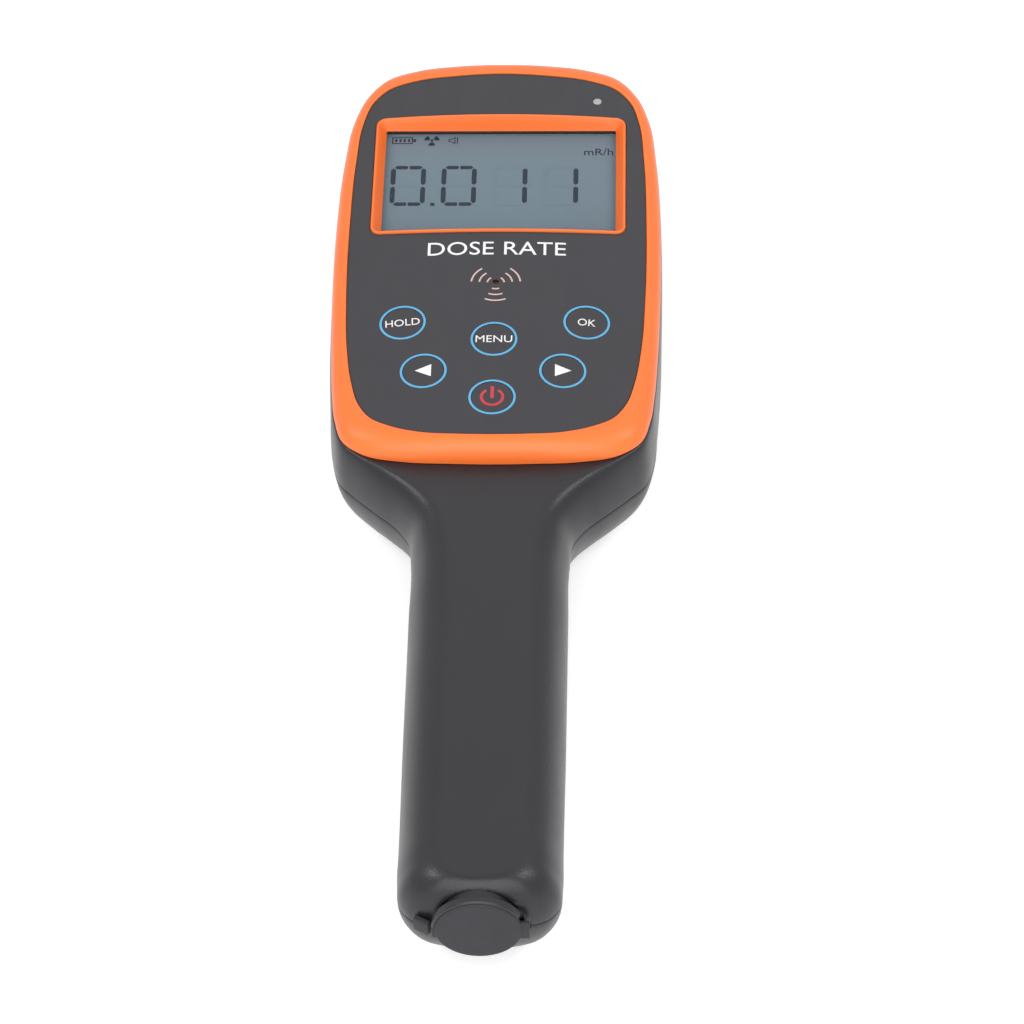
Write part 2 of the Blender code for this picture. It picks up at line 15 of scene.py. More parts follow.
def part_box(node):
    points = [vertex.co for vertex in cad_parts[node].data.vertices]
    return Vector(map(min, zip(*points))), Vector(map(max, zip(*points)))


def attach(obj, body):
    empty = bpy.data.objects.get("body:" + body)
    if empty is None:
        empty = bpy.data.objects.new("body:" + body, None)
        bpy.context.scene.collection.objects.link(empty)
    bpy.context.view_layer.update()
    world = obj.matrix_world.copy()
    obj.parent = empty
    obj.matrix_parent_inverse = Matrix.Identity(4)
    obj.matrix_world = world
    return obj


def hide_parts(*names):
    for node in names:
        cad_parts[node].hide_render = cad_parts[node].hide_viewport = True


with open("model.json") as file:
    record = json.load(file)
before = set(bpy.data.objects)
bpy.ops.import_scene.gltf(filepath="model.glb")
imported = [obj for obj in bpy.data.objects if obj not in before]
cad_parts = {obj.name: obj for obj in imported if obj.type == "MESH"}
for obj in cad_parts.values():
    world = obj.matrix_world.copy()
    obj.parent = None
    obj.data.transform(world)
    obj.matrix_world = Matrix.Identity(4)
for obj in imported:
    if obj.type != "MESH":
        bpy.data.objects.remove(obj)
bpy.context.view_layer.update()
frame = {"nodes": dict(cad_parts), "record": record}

bl_info = {
    "name": "Radiation Survey Meter",
    "version": (1, 0, 0),
    "blender": (4, 5, 0),
    "location": "View3D > Sidebar > Survey Meter",
    "description": "Builds the looks of a hand-held radiation survey meter round its packed model",
    "category": "Add Mesh",
}

MM = 0.001

# ---- casing: levels and rails -----------------------------------------------------------------------------
PANEL_TOP = 38.0                # crown of the panel above the underside
CROWN_RADIUS = 317.0            # the panel is crowned across X
RIM_LEVEL = 32.0                # top of the shells, where the frame rests
WALL = 2.2
WIDE_LEVEL = 19.2               # widest line of the casing
PART_LEVEL = 18.6               # the shells part just under it
SEAM = 0.26                     # open joint between the shells
FINE_STEPS, COARSE_STEPS = 6, 2
UPPER_RINGS, LOWER_RINGS = 14, 14

# Rails of the right half, from the head's far end to its lower corner:
# panel edge, frame edge, widest line of the casing, edge of its flat underside.
HEAD_RAILS = [
    ((0, 126.5), (0, 133.5), (0, 133.3), (0, 120)),
    ((12, 125.9), (12, 133.1), (12, 132.9), (8, 119.6)),
    ((22.8, 124.5), (22.4, 131.6), (22.5, 131.4), (15, 118)),
    ((29.3, 122.0), (29.8, 128.7), (30.0, 128.5), (20, 115)),
    ((33.3, 117.3), (35.1, 122.1), (35.4, 122.0), (23.6, 110.5)),
    ((35.6, 109.8), (38.3, 113.0), (38.6, 113.0), (25.6, 104.5)),
    ((36.9, 96), (40.1, 98), (40.4, 98), (27, 94)),
    ((37.5, 74), (41.1, 74), (41.4, 74), (28, 74)),
    ((37.2, 47), (40.9, 47), (41.3, 47), (28, 49)),
    ((36.2, 29), (40.2, 28.5), (40.9, 28.5), (27.4, 32)),
    ((34.6, 17.5), (39.4, 16.5), (40.2, 16.0), (26.4, 20)),
    ((32.6, 10.2), (38.3, 8.0), (39.4, 6.5), (24.6, 10.5)),
    ((29.5, 5.3), (36.0, 1.2), (37.3, -0.5), (22, 4)),
]
# The frame's lower edge: panel edge and frame edge.
FRAME_FOOT = [
    ((24.5, 2.2), (31.0, -2.8)),
    ((17.1, -0.2), (21.5, -5.0)),
    ((8, -1.1), (10, -5.6)),
    ((0, -1.35), (0, -5.8)),
]
# Neck and handle: edge of the flat top, widest line, edge of the flat underside.
HANDLE_RAILS = [
    ((30.5, -3.6), (33.2, -5.0), (18.0, -1)),
    ((24.5, -6.8), (28.0, -10.0), (13.4, -5)),
    ((18.6, -11.2), (22.8, -15.1), (10.2, -9.5)),
    ((13.4, -16.8), (19.8, -20.0), (8.2, -15)),
    ((9.8, -24.5), (19.0, -27.0), (6.8, -23)),
    ((7.6, -42), (18.9, -45), (6.2, -42)),
    ((7.2, -85), (18.8, -85), (6.2, -80)),
    ((7.4, -112), (18.6, -113), (6.2, -105)),
    ((7.6, -120.5), (18.6, -121.5), (5.8, -112)),
    ((6.8, -124.5), (18.0, -126.8), (4.8, -116)),
    ((5.2, -126.4), (15.7, -129.8), (3.6, -118)),
    ((2.8, -127.2), (9.0, -132.0), (2.0, -119)),
    ((0, -127.4), (0, -132.9), (0, -119.2)),
]
BODY_TOP = [rail[1] for rail in HEAD_RAILS] + [rail[0] for rail in HANDLE_RAILS]
BODY_WIDE = [rail[2] for rail in HEAD_RAILS] + [rail[1] for rail in HANDLE_RAILS]
BODY_FOOT = [rail[3] for rail in HEAD_RAILS] + [rail[2] for rail in HANDLE_RAILS]
PANEL_EDGE = [rail[0] for rail in HEAD_RAILS] + [foot[0] for foot in FRAME_FOOT]
FRAME_EDGE = [rail[1] for rail in HEAD_RAILS] + [foot[1] for foot in FRAME_FOOT]

# ---- fasteners and port -----------------------------------------------------------------------------------
HEAD_POSTS = [(30.0, 14.0), (-30.0, 14.0), (16.0, 120.2), (-16.0, 120.2)]
HANDLE_POSTS = [(0.0, -24.0), (0.0, -106.0)]
POST_RADIUS = 3.1
HEAD_POST_LEVEL = 12.0
SCREW_SEAT = 6.0

PORT_Z = 21.2
CAP_FACE, CAP_BACK = -135.0, -133.1
CAP_RADIUS = 9.7
LIP_RADIUS, LIP_BACK = 10.5, -132.9
NECK_RADIUS, NECK_BORE = 9.0, 8.5
BROW_Z, BROW_RADIUS = 20.0, 10.2       # round recess in the handle's end behind the lip
BROW_DEPTH = -129.9
STRAP_LEVELS = (17.8, 21.8)
STRAP_START, STRAP_END = (-10.9, -133.3), (-14.2, -131.3)
PULL_TAB = (11.4, -3.3, 2.4)

# ---- front ------------------------------------------------------------------------------------------------
FRAME_LIP = 0.35
OVERLAY_THICK = 0.8
PLATE_THICK = 1.5
BEZEL_HALF, BEZEL_CENTRE, BEZEL_CORNER = (32.2, 21.1), (0.0, 89.9), 2.6
BEZEL_LIP = 0.5
BEZEL_STEPS = 28                # points along a straight side, so that its rim follows the crown
WINDOW_HALF, WINDOW_CENTRE = (29.65, 19.3), (0.0, 89.5)
WINDOW_TOP = 34.0
LCD_TOP = 32.5
KEY_NAMES = ("hold", "ok", "menu", "left", "right", "power")
KEY_RADIUS = 5.1
INDICATOR_RADIUS = 1.1
SOUND_HOLE, SOUND_RADIUS = (0.0, 50.2), 0.8
PRINT_THICK = 0.03

# ---- stage: lamps as (name, place, size, watts), in metres, all turned to the origin -----------------------
LAMPS = [
    ("back_softbox", (0.1, 0.95, 1.05), 1.3, 2.0),
    ("front_softbox", (0.0, -1.20, 0.95), 1.6, 21.0),
    ("left_softbox", (-0.85, 0.05, 1.05), 0.32, 3.6),
    ("right_softbox", (0.85, 0.05, 1.05), 0.32, 3.6),
]
WORLD_LIGHT = 0.42              # strength of the world as light; the background itself is white
FLOOR_GLOW = 0.45               # glow of the floor in view, which keeps only a faint shadow


# ---- settings ---------------------------------------------------------------------------------------------
def length_setting(name, description, default):
    return FloatProperty(name=name, description=description, default=default * MM, min=0.0,
                         subtype="DISTANCE", unit="LENGTH")


def colour_setting(name, description, default):
    return FloatVectorProperty(name=name, description=description, default=default, size=3, min=0.0, max=1.0,
                               subtype="COLOR")


class MeterSizes(PropertyGroup):
    ring_width: length_setting("Key ring width", "Width of the printed ring round a key", 0.56)
    ring_radius: length_setting("Key ring radius", "Radius of the middle of a printed key ring", 5.45)
    legend_height: length_setting("Key legend height", "Height of the capitals on the keys", 2.3)
    title_height: length_setting("Title height", "Height of the capitals under the display", 4.6)
    digit_height: length_setting("Digit height", "Height of the display's large digits", 14.7)
    segment_width: length_setting("Segment width", "Width of one stroke of a digit", 1.25)
    reading: StringProperty(name="Reading", description="Digits shown, with a point", default="0.011")


class MeterColours(PropertyGroup):
    black_plastic: colour_setting("Black plastic", "Casing shells", (0.0125, 0.0122, 0.0160))
    orange_plastic: colour_setting("Orange plastic", "Frame and display surround", (0.93, 0.180, 0.028))
    panel_film: colour_setting("Panel film", "Printed film and key tops", (0.021, 0.0205, 0.026))
    ring_ink: colour_setting("Ring ink", "Rings round the keys", (0.100, 0.400, 0.680))
    legend_ink: colour_setting("Legend ink", "White legends", (0.83, 0.83, 0.84))
    power_ink: colour_setting("Power ink", "Power symbol", (0.55, 0.030, 0.050))
    wave_ink: colour_setting("Wave ink", "Sound waves round the sound hole", (0.66, 0.46, 0.41))
    lcd_ground: colour_setting("Display ground", "Unlit display", (0.145, 0.205, 0.248))
    lcd_ink: colour_setting("Display ink", "Driven segments", (0.008, 0.018, 0.032))
    rubber: colour_setting("Rubber", "Port cap and its strap", (0.026, 0.025, 0.030))


class MeterStage(PropertyGroup):
    azimuth: FloatProperty(name="Azimuth", description="Camera's turn to the right of the handle's end",
                           default=math.radians(2.584), subtype="ANGLE")
    elevation: FloatProperty(name="Elevation", description="Camera's height over the horizon",
                             default=math.radians(48.526), subtype="ANGLE")
    roll: FloatProperty(name="Roll", description="Camera's turn about its own axis",
                        default=math.radians(-1.882), subtype="ANGLE")
    distance: length_setting("Distance", "From the camera to its target", 943.0)
    target: FloatVectorProperty(name="Target", description="Point the camera looks at", size=3,
                                default=(0.0056, -0.02615, 0.038), subtype="TRANSLATION", unit="LENGTH")
    lens: FloatProperty(name="Lens", description="Focal length in millimetres on a 36 mm sensor",
                        default=140.625)


# ---- outlines ---------------------------------------------------------------------------------------------
def spline(points, steps):
    """Smooth half outline through points; both its ends lie on the mirror line X = 0."""
    pts = [Vector(p) for p in points]
    ends = [Vector((-pts[1].x, pts[1].y))] + pts + [Vector((-pts[-2].x, pts[-2].y))]
    slopes = []
    for before, here, after in zip(ends, ends[1:], ends[2:]):
        h0, h1 = (here - before).length, (after - here).length
        slopes.append(((here - before) / h0 * h1 + (after - here) / h1 * h0) / (h0 + h1))
    out = []
    for i in range(len(pts) - 1):
        h = (pts[i + 1] - pts[i]).length
        for k in range(steps):
            t = k / steps
            out.append(pts[i] * (2 * t**3 - 3 * t**2 + 1) + slopes[i] * h * (t**3 - 2 * t**2 + t)
                       + pts[i + 1] * (3 * t**2 - 2 * t**3) + slopes[i + 1] * h * (t**3 - t**2))
    return out + [pts[-1]]


def full_outline(half):
    """The half outline with its mirror image, counter-clockwise seen from above."""
    mirrored = [Vector((-p.x, p.y)) for p in reversed(half[1:-1])]
    return (half + mirrored)[::-1]


def inset(outline, distance):
    """The outline moved inwards by distance along its own normals."""
    moved = []
    for i, here in enumerate(outline):
        along = outline[(i + 1) % len(outline)] - outline[i - 1]
        moved.append(here + Vector((-along.y, along.x)).normalized() * distance)
    return moved


def crown(x):
    return PANEL_TOP - x * x / (2 * CROWN_RADIUS)


def arc(centre, radius, start, end, count):
    """Points along an arc, angles in degrees counter-clockwise from +X."""
    return [Vector((centre[0] + radius * math.cos(a), centre[1] + radius * math.sin(a)))
            for a in (math.radians(start + (end - start) * k / count) for k in range(count + 1))]


def rounded_rectangle(centre, half, corner, count=8, steps=1):
    """Counter-clockwise from the lower right corner, with each straight side in steps."""
    corners = []
    for start, sx, sy in ((-90, 1, -1), (0, 1, 1), (90, -1, 1), (180, -1, -1)):
        middle = (centre[0] + sx * (half[0] - corner), centre[1] + sy * (half[1] - corner))
        corners.append(arc(middle, corner, start, start + 90, count))
    points = []
    for here, after in zip(corners, corners[1:] + corners[:1]):
        points += here + [here[-1].lerp(after[0], k / steps) for k in range(1, steps)]
    return points


def arc_band(centre, radius, width, start, end, count=16):
    """Closed outline of a stroke of even width along an arc."""
    outer = arc(centre, radius + width / 2, start, end, count)
    inner = arc(centre, radius - width / 2, end, start, count)
    return outer + inner


# ---- modelling by operators -------------------------------------------------------------------------------
def deselect():
    if bpy.context.object and bpy.context.object.mode != "OBJECT":
        bpy.ops.object.mode_set(mode="OBJECT")
    bpy.ops.object.select_all(action="DESELECT")


def select_only(*objects):
    deselect()
    for obj in objects:
        obj.select_set(True)
    bpy.context.view_layer.objects.active = objects[0]


def named(name):
    """The object that an operator has just added, under its own name."""
    obj = bpy.context.object
    obj.name = obj.data.name = name
    return obj


def settle(obj):
    """Turn, scale and place go into the mesh, so that the object sits at the origin."""
    select_only(obj)
    bpy.ops.object.transform_apply(location=True, rotation=True, scale=True)
    return obj


def weld(obj, close_ends=False):
    """Merges points that meet, closes open ends and turns all faces outwards."""
    select_only(obj)
    bpy.ops.object.mode_set(mode="EDIT")
    bpy.ops.mesh.select_all(action="SELECT")
    bpy.ops.mesh.remove_doubles(threshold=0.000001)
    if close_ends:
        bpy.ops.mesh.select_all(action="SELECT")
        bpy.ops.mesh.fill_holes(sides=0)
    bpy.ops.mesh.select_all(action="SELECT")
    bpy.ops.mesh.normals_make_consistent(inside=False)
    bpy.ops.object.mode_set(mode="OBJECT")
    return obj


def smooth(obj, degrees=32):
    select_only(obj)
    bpy.ops.object.shade_smooth_by_angle(angle=math.radians(degrees))
    return obj


def loft(name, rings, closed=False):
    """A grid wrapped round rings of points; closed joins last ring to first, else both ends are filled."""
    columns, rows = len(rings[0]), len(rings) - (0 if closed else 1)
    deselect()
    bpy.ops.mesh.primitive_grid_add(x_subdivisions=columns, y_subdivisions=rows, size=1)
    obj = named(name)
    for vert in obj.data.vertices:
        column = round((vert.co.x + 0.5) * columns) % columns
        row = round((vert.co.y + 0.5) * rows) % len(rings)
        vert.co = Vector(rings[row][column]) * MM
    return weld(obj, close_ends=not closed)


def prism(name, outline, low, high):
    return loft(name, [[(p.x, p.y, z) for p in outline] for z in (low, high)])


def box(name, low, high, rounding=0.0, segments=3):
    deselect()
    bpy.ops.mesh.primitive_cube_add(size=1, location=[(a + b) / 2 * MM for a, b in zip(low, high)],
                                    scale=[(b - a) * MM for a, b in zip(low, high)])
    obj = settle(named(name))
    if rounding:
        bpy.ops.object.mode_set(mode="EDIT")
        bpy.ops.mesh.select_all(action="SELECT")
        bpy.ops.mesh.bevel(offset=rounding * MM, segments=segments, affect="EDGES")
        bpy.ops.object.mode_set(mode="OBJECT")
    return obj


AXIS_TURN = {"Z": (0, 0, 0), "Y": (math.radians(90), 0, 0)}


def cylinder(name, low, high, radius, axis="Z", vertices=48):
    deselect()
    centre = (Vector(low) + Vector(high)) / 2
    depth = (Vector(high) - Vector(low)).length
    bpy.ops.mesh.primitive_cylinder_add(vertices=vertices, radius=radius * MM, depth=depth * MM,
                                        location=centre * MM, rotation=AXIS_TURN[axis])
    return settle(named(name))


def turned(name, profile, place, axis="Z", steps=64):
    """A profile of (radius, height) from top to bottom, turned about its own axis."""
    columns, rows = steps, len(profile) - 1
    deselect()
    bpy.ops.mesh.primitive_grid_add(x_subdivisions=columns, y_subdivisions=rows, size=1)
    obj = named(name)
    for vert in obj.data.vertices:
        angle = math.tau * (round((vert.co.x + 0.5) * columns) % columns) / columns
        radius, height = profile[round((vert.co.y + 0.5) * rows)]
        vert.co = Vector((radius * math.cos(angle), radius * math.sin(angle), height)) * MM
    obj.rotation_euler = AXIS_TURN[axis]
    obj.location = Vector(place) * MM
    settle(obj)
    return weld(obj)


def combine(obj, tools, operation="DIFFERENCE"):
    """Each tool cuts, joins or bounds obj, and is then gone."""
    for tool in tools:
        modifier = obj.modifiers.new("shape", "BOOLEAN")
        modifier.operation = operation
        modifier.solver = "EXACT"
        modifier.object = tool
        select_only(obj)
        bpy.ops.object.modifier_apply(modifier=modifier.name)
        bpy.data.objects.remove(tool)
    return obj


def round_edges(obj, chosen, width, segments=2):
    """Bevels the edges for which chosen(first, second) is true, its points in millimetres."""
    select_only(obj)
    bpy.ops.object.mode_set(mode="EDIT")
    bpy.ops.mesh.select_mode(type="EDGE")
    bpy.ops.mesh.select_all(action="DESELECT")
    bpy.ops.object.mode_set(mode="OBJECT")
    points = [vert.co / MM for vert in obj.data.vertices]
    for edge in obj.data.edges:
        edge.select = chosen(points[edge.vertices[0]], points[edge.vertices[1]])
    bpy.ops.object.mode_set(mode="EDIT")
    bpy.ops.mesh.bevel(offset=width * MM, segments=segments, affect="EDGES")
    bpy.ops.mesh.select_mode(type="VERT")
    bpy.ops.object.mode_set(mode="OBJECT")
    return obj


def cylinders(name, places, low, high, radius, vertices=32):
    """One object with an upright cylinder at each place."""
    made = [cylinder(name, (x, y, low), (x, y, high), radius, vertices=vertices) for x, y in places]
    select_only(*made)
    if len(made) > 1:
        bpy.ops.object.join()
    return named(name)


def crown_slab(name, depth_top, depth_bottom, half_width=42.0, low_y=-12.0, high_y=140.0, strips=42):
    """A slab across the head between two depths below the crown."""
    xs = [half_width * (2 * i / strips - 1) for i in range(strips + 1)]
    section = [Vector((x, crown(x) - depth_top)) for x in xs]
    section += [Vector((x, crown(x) - depth_bottom)) for x in reversed(xs)]
    return loft(name, [[(p.x, y, p.y) for p in section] for y in (low_y, high_y)])


def flat_shapes(name, outlines, level, thick=PRINT_THICK, crowned=True):
    """Flat outlines filled and given a thickness; on the crowned panel they follow it."""
    curve = bpy.data.curves.new(name, "CURVE")
    curve.dimensions = "2D"
    curve.fill_mode = "BOTH"
    curve.extrude = thick / 2 * MM
    for outline in outlines:
        run = curve.splines.new("POLY")
        run.points.add(len(outline) - 1)
        for point, place in zip(run.points, outline):
            point.co = (place[0] * MM, place[1] * MM, 0, 1)
        run.use_cyclic_u = True
    obj = bpy.data.objects.new(name, curve)
    bpy.context.scene.collection.objects.link(obj)
    return laid_on(obj, level, thick, crowned)


def lettering(name, text, centre, width, height, level, tilt=0.0, crowned=True, weight=0.0):
    """Plain capitals fitted into width by height about centre."""
    deselect()
    bpy.ops.object.text_add()
    obj = named(name)
    obj.data.body = text
    obj.data.extrude = PRINT_THICK / 2 * MM
    obj.data.resolution_u = 4
    obj.data.offset = weight
    select_only(obj)
    bpy.ops.object.convert(target="MESH")
    obj = bpy.context.object
    xs = [vert.co.x for vert in obj.data.vertices]
    ys = [vert.co.y for vert in obj.data.vertices]
    turn = Matrix.Rotation(tilt, 3, "Z")
    for vert in obj.data.vertices:
        across = ((vert.co.x - min(xs)) / (max(xs) - min(xs)) - 0.5) * width * MM
        along = ((vert.co.y - min(ys)) / (max(ys) - min(ys)) - 0.5) * height * MM
        vert.co = turn @ Vector((across, along, vert.co.z)) + Vector((centre[0], centre[1], 0)) * MM
    return laid_on(obj, level, PRINT_THICK, crowned)


def laid_on(obj, level, thick, crowned):
    """Makes obj a mesh that stands on level or, with crowned, on the panel's crown above it."""
    if obj.type != "MESH":
        select_only(obj)
        bpy.ops.object.convert(target="MESH")
        obj = bpy.context.object
    for vert in obj.data.vertices:
        rise = level + (crown(vert.co.x / MM) - PANEL_TOP if crowned else 0)
        vert.co.z += (rise + thick / 2) * MM
    return weld(obj)


def finish_piece(obj, finish, body, nodes=()):
    """Finish, moving body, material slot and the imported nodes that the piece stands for."""
    obj.data.materials.clear()
    obj.data.materials.append(FINISHES[finish])
    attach(obj, body)
    if nodes:
        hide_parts(*nodes)
    return obj


# ---- finishes ---------------------------------------------------------------------------------------------
def new_group(name, inputs, outputs):
    """An empty shader node group; inputs are (name, kind, default) and outputs (name, kind)."""
    group = bpy.data.node_groups.new(name, "ShaderNodeTree")
    for label, kind, default in inputs:
        socket = group.interface.new_socket(label, in_out="INPUT", socket_type=kind)
        socket.default_value = default
    for label, kind in outputs:
        group.interface.new_socket(label, in_out="OUTPUT", socket_type=kind)
    return group, group.nodes.new("NodeGroupInput"), group.nodes.new("NodeGroupOutput")


def node(tree, kind, **settings):
    made = tree.nodes.new(kind)
    for key, value in settings.items():
        setattr(made, key, value)
    return made


def ramp(tree, source, low, high):
    """A map of source from low..high to 0..1, clamped."""
    made = node(tree, "ShaderNodeMapRange", clamp=True)
    made.inputs["From Min"].default_value = low
    made.inputs["From Max"].default_value = high
    tree.links.new(source, made.inputs["Value"])
    return made.outputs["Result"]


def maths(tree, operation, first, second=0.0):
    made = node(tree, "ShaderNodeMath", operation=operation)
    for socket, value in zip(made.inputs, (first, second)):
        if isinstance(value, (int, float)):
            socket.default_value = value
        else:
            tree.links.new(value, socket)
    return made.outputs["Value"]


def blended(tree, factor, first, second, mode="MIX"):
    """Colour mix of two colours or colour sockets."""
    made = node(tree, "ShaderNodeMix", data_type="RGBA", blend_type=mode)
    for index, value in ((0, factor), (6, first), (7, second)):
        socket = made.inputs[index]
        if isinstance(value, bpy.types.NodeSocket):
            tree.links.new(value, socket)
        elif isinstance(value, (int, float)):
            socket.default_value = value
        else:
            socket.default_value = (*value, 1)
    return made.outputs[2]


def grain_group():
    """Fine pits of a spark-eroded mould."""
    group, given, result = new_group("moulded_grain", [("Scale", "NodeSocketFloat", 2200.0)],
                                     [("Height", "NodeSocketFloat")])
    place = node(group, "ShaderNodeTexCoord")
    fine = node(group, "ShaderNodeTexNoise")
    fine.inputs["Detail"].default_value = 2.0
    pits = node(group, "ShaderNodeTexVoronoi", feature="SMOOTH_F1")
    for texture in (fine, pits):
        group.links.new(place.outputs["Object"], texture.inputs["Vector"])
        group.links.new(given.outputs["Scale"], texture.inputs["Scale"])
    height = maths(group, "ADD", fine.outputs["Fac"], pits.outputs["Distance"])
    group.links.new(height, result.inputs["Height"])
    return group


def tone_group():
    """Slow unevenness of a surface: handling marks and shine."""
    group, given, result = new_group("uneven_tone", [("Scale", "NodeSocketFloat", 60.0)],
                                     [("Broad", "NodeSocketFloat"), ("Smear", "NodeSocketFloat")])
    place = node(group, "ShaderNodeTexCoord")
    broad = node(group, "ShaderNodeTexNoise")
    broad.inputs["Detail"].default_value = 3.0
    group.links.new(place.outputs["Object"], broad.inputs["Vector"])
    group.links.new(given.outputs["Scale"], broad.inputs["Scale"])
    stretch = node(group, "ShaderNodeMapping")
    stretch.inputs["Scale"].default_value = (1.0, 0.25, 1.0)
    smear = node(group, "ShaderNodeTexNoise")
    smear.inputs["Detail"].default_value = 5.0
    group.links.new(place.outputs["Object"], stretch.inputs["Vector"])
    group.links.new(stretch.outputs["Vector"], smear.inputs["Vector"])
    group.links.new(maths(group, "MULTIPLY", given.outputs["Scale"], 4.0), smear.inputs["Scale"])
    group.links.new(broad.outputs["Fac"], result.inputs["Broad"])
    group.links.new(smear.outputs["Fac"], result.inputs["Smear"])
    return group


def dust_group():
    """Rare pale specks, each a cell's own spot that only a few cells show."""
    group, given, result = new_group("dust_specks", [("Scale", "NodeSocketFloat", 160.0),
                                                     ("Share", "NodeSocketFloat", 0.03)],
                                     [("Mask", "NodeSocketFloat")])
    place = node(group, "ShaderNodeTexCoord")
    cells = node(group, "ShaderNodeTexVoronoi", feature="F1")
    group.links.new(place.outputs["Object"], cells.inputs["Vector"])
    group.links.new(given.outputs["Scale"], cells.inputs["Scale"])
    lot = node(group, "ShaderNodeSeparateColor")
    group.links.new(cells.outputs["Color"], lot.inputs["Color"])
    chosen = maths(group, "LESS_THAN", lot.outputs["Red"], given.outputs["Share"])
    size = maths(group, "MULTIPLY", lot.outputs["Green"], 0.055)
    spot = maths(group, "LESS_THAN", cells.outputs["Distance"], size)
    group.links.new(maths(group, "MULTIPLY", chosen, spot), result.inputs["Mask"])
    return group


def placed_group(tree, group, **values):
    made = node(tree, "ShaderNodeGroup", node_tree=group)
    for label, value in values.items():
        made.inputs[label].default_value = value
    return made


FINISHES = {}


def new_finish(name):
    material = bpy.data.materials.new(name)
    material.use_nodes = True
    FINISHES[name] = material
    return material, material.node_tree, material.node_tree.nodes["Principled BSDF"]


def varied_roughness(tree, shader, source, low, high):
    """Roughness that follows source between low and high."""
    rough = node(tree, "ShaderNodeMapRange")
    rough.inputs["To Min"].default_value = low
    rough.inputs["To Max"].default_value = high
    tree.links.new(source, rough.inputs["Value"])
    tree.links.new(rough.outputs["Result"], shader.inputs["Roughness"])


def moulded(name, colour, roughness, grain=2200.0, depth=0.02, tone=0.06, shine=0.08, dust=0.0, gloss=0.5):
    """Moulded or coated surface: even colour, fine grain, uneven shine and, if asked, dust."""
    material, tree, shader = new_finish(name)
    shader.inputs["Specular IOR Level"].default_value = gloss
    uneven = placed_group(tree, bpy.data.node_groups["uneven_tone"], Scale=55.0)
    dark = tuple(c * (1 - tone) for c in colour)
    light = tuple(min(1.0, c * (1 + tone)) for c in colour)
    shade = blended(tree, ramp(tree, uneven.outputs["Broad"], 0.3, 0.7), dark, light)
    if dust:
        specks = placed_group(tree, bpy.data.node_groups["dust_specks"], Share=dust)
        shade = blended(tree, specks.outputs["Mask"], shade, (0.5, 0.5, 0.5))
    tree.links.new(shade, shader.inputs["Base Color"])
    varied_roughness(tree, shader, uneven.outputs["Smear"], roughness - shine, roughness + shine)
    texture = placed_group(tree, bpy.data.node_groups["moulded_grain"], Scale=grain)
    bump = node(tree, "ShaderNodeBump")
    bump.inputs["Strength"].default_value = 1.0
    bump.inputs["Distance"].default_value = depth * MM
    tree.links.new(texture.outputs["Height"], bump.inputs["Height"])
    tree.links.new(bump.outputs["Normal"], shader.inputs["Normal"])
    return material


def clear_finish(name, colour, opacity, roughness):
    """Thin clear plastic that lets most light straight through and shines on top."""
    material, tree, shader = new_finish(name)
    uneven = placed_group(tree, bpy.data.node_groups["uneven_tone"], Scale=30.0)
    shader.inputs["Base Color"].default_value = (*colour, 1)
    shader.inputs["Alpha"].default_value = opacity
    varied_roughness(tree, shader, uneven.outputs["Smear"], roughness * 0.6, roughness * 1.6)
    return material


def brushed(name, colour, roughness):
    """Drawn or rolled metal with fine lines along it."""
    material, tree, shader = new_finish(name)
    shader.inputs["Metallic"].default_value = 1.0
    place = node(tree, "ShaderNodeTexCoord")
    stretch = node(tree, "ShaderNodeMapping")
    stretch.inputs["Scale"].default_value = (1.0, 0.04, 1.0)
    lines = node(tree, "ShaderNodeTexNoise")
    lines.inputs["Scale"].default_value = 4000.0
    tree.links.new(place.outputs["Object"], stretch.inputs["Vector"])
    tree.links.new(stretch.outputs["Vector"], lines.inputs["Vector"])
    shade = blended(tree, lines.outputs["Fac"], tuple(c * 0.8 for c in colour), colour)
    tree.links.new(shade, shader.inputs["Base Color"])
    varied_roughness(tree, shader, lines.outputs["Fac"], roughness - 0.1, roughness + 0.1)
    return material


def board_finish(name):
    """Solder mask with copper tracks and plated pads under it."""
    material, tree, shader = new_finish(name)
    place = node(tree, "ShaderNodeTexCoord")
    tracks = node(tree, "ShaderNodeTexBrick")
    tracks.inputs["Scale"].default_value = 180.0
    tracks.inputs["Mortar Size"].default_value = 0.06
    tracks.inputs["Color1"].default_value = (0.012, 0.11, 0.045, 1)
    tracks.inputs["Color2"].default_value = (0.016, 0.13, 0.055, 1)
    tracks.inputs["Mortar"].default_value = (0.05, 0.24, 0.10, 1)
    pads = node(tree, "ShaderNodeTexVoronoi")
    pads.inputs["Scale"].default_value = 300.0
    for texture in (tracks, pads):
        tree.links.new(place.outputs["Object"], texture.inputs["Vector"])
    pad = maths(tree, "LESS_THAN", pads.outputs["Distance"], 0.16)
    shade = blended(tree, pad, tracks.outputs["Color"], (0.62, 0.58, 0.50))
    tree.links.new(shade, shader.inputs["Base Color"])
    tree.links.new(maths(tree, "MULTIPLY", pad, 0.9), shader.inputs["Metallic"])
    shader.inputs["Roughness"].default_value = 0.35
    return material


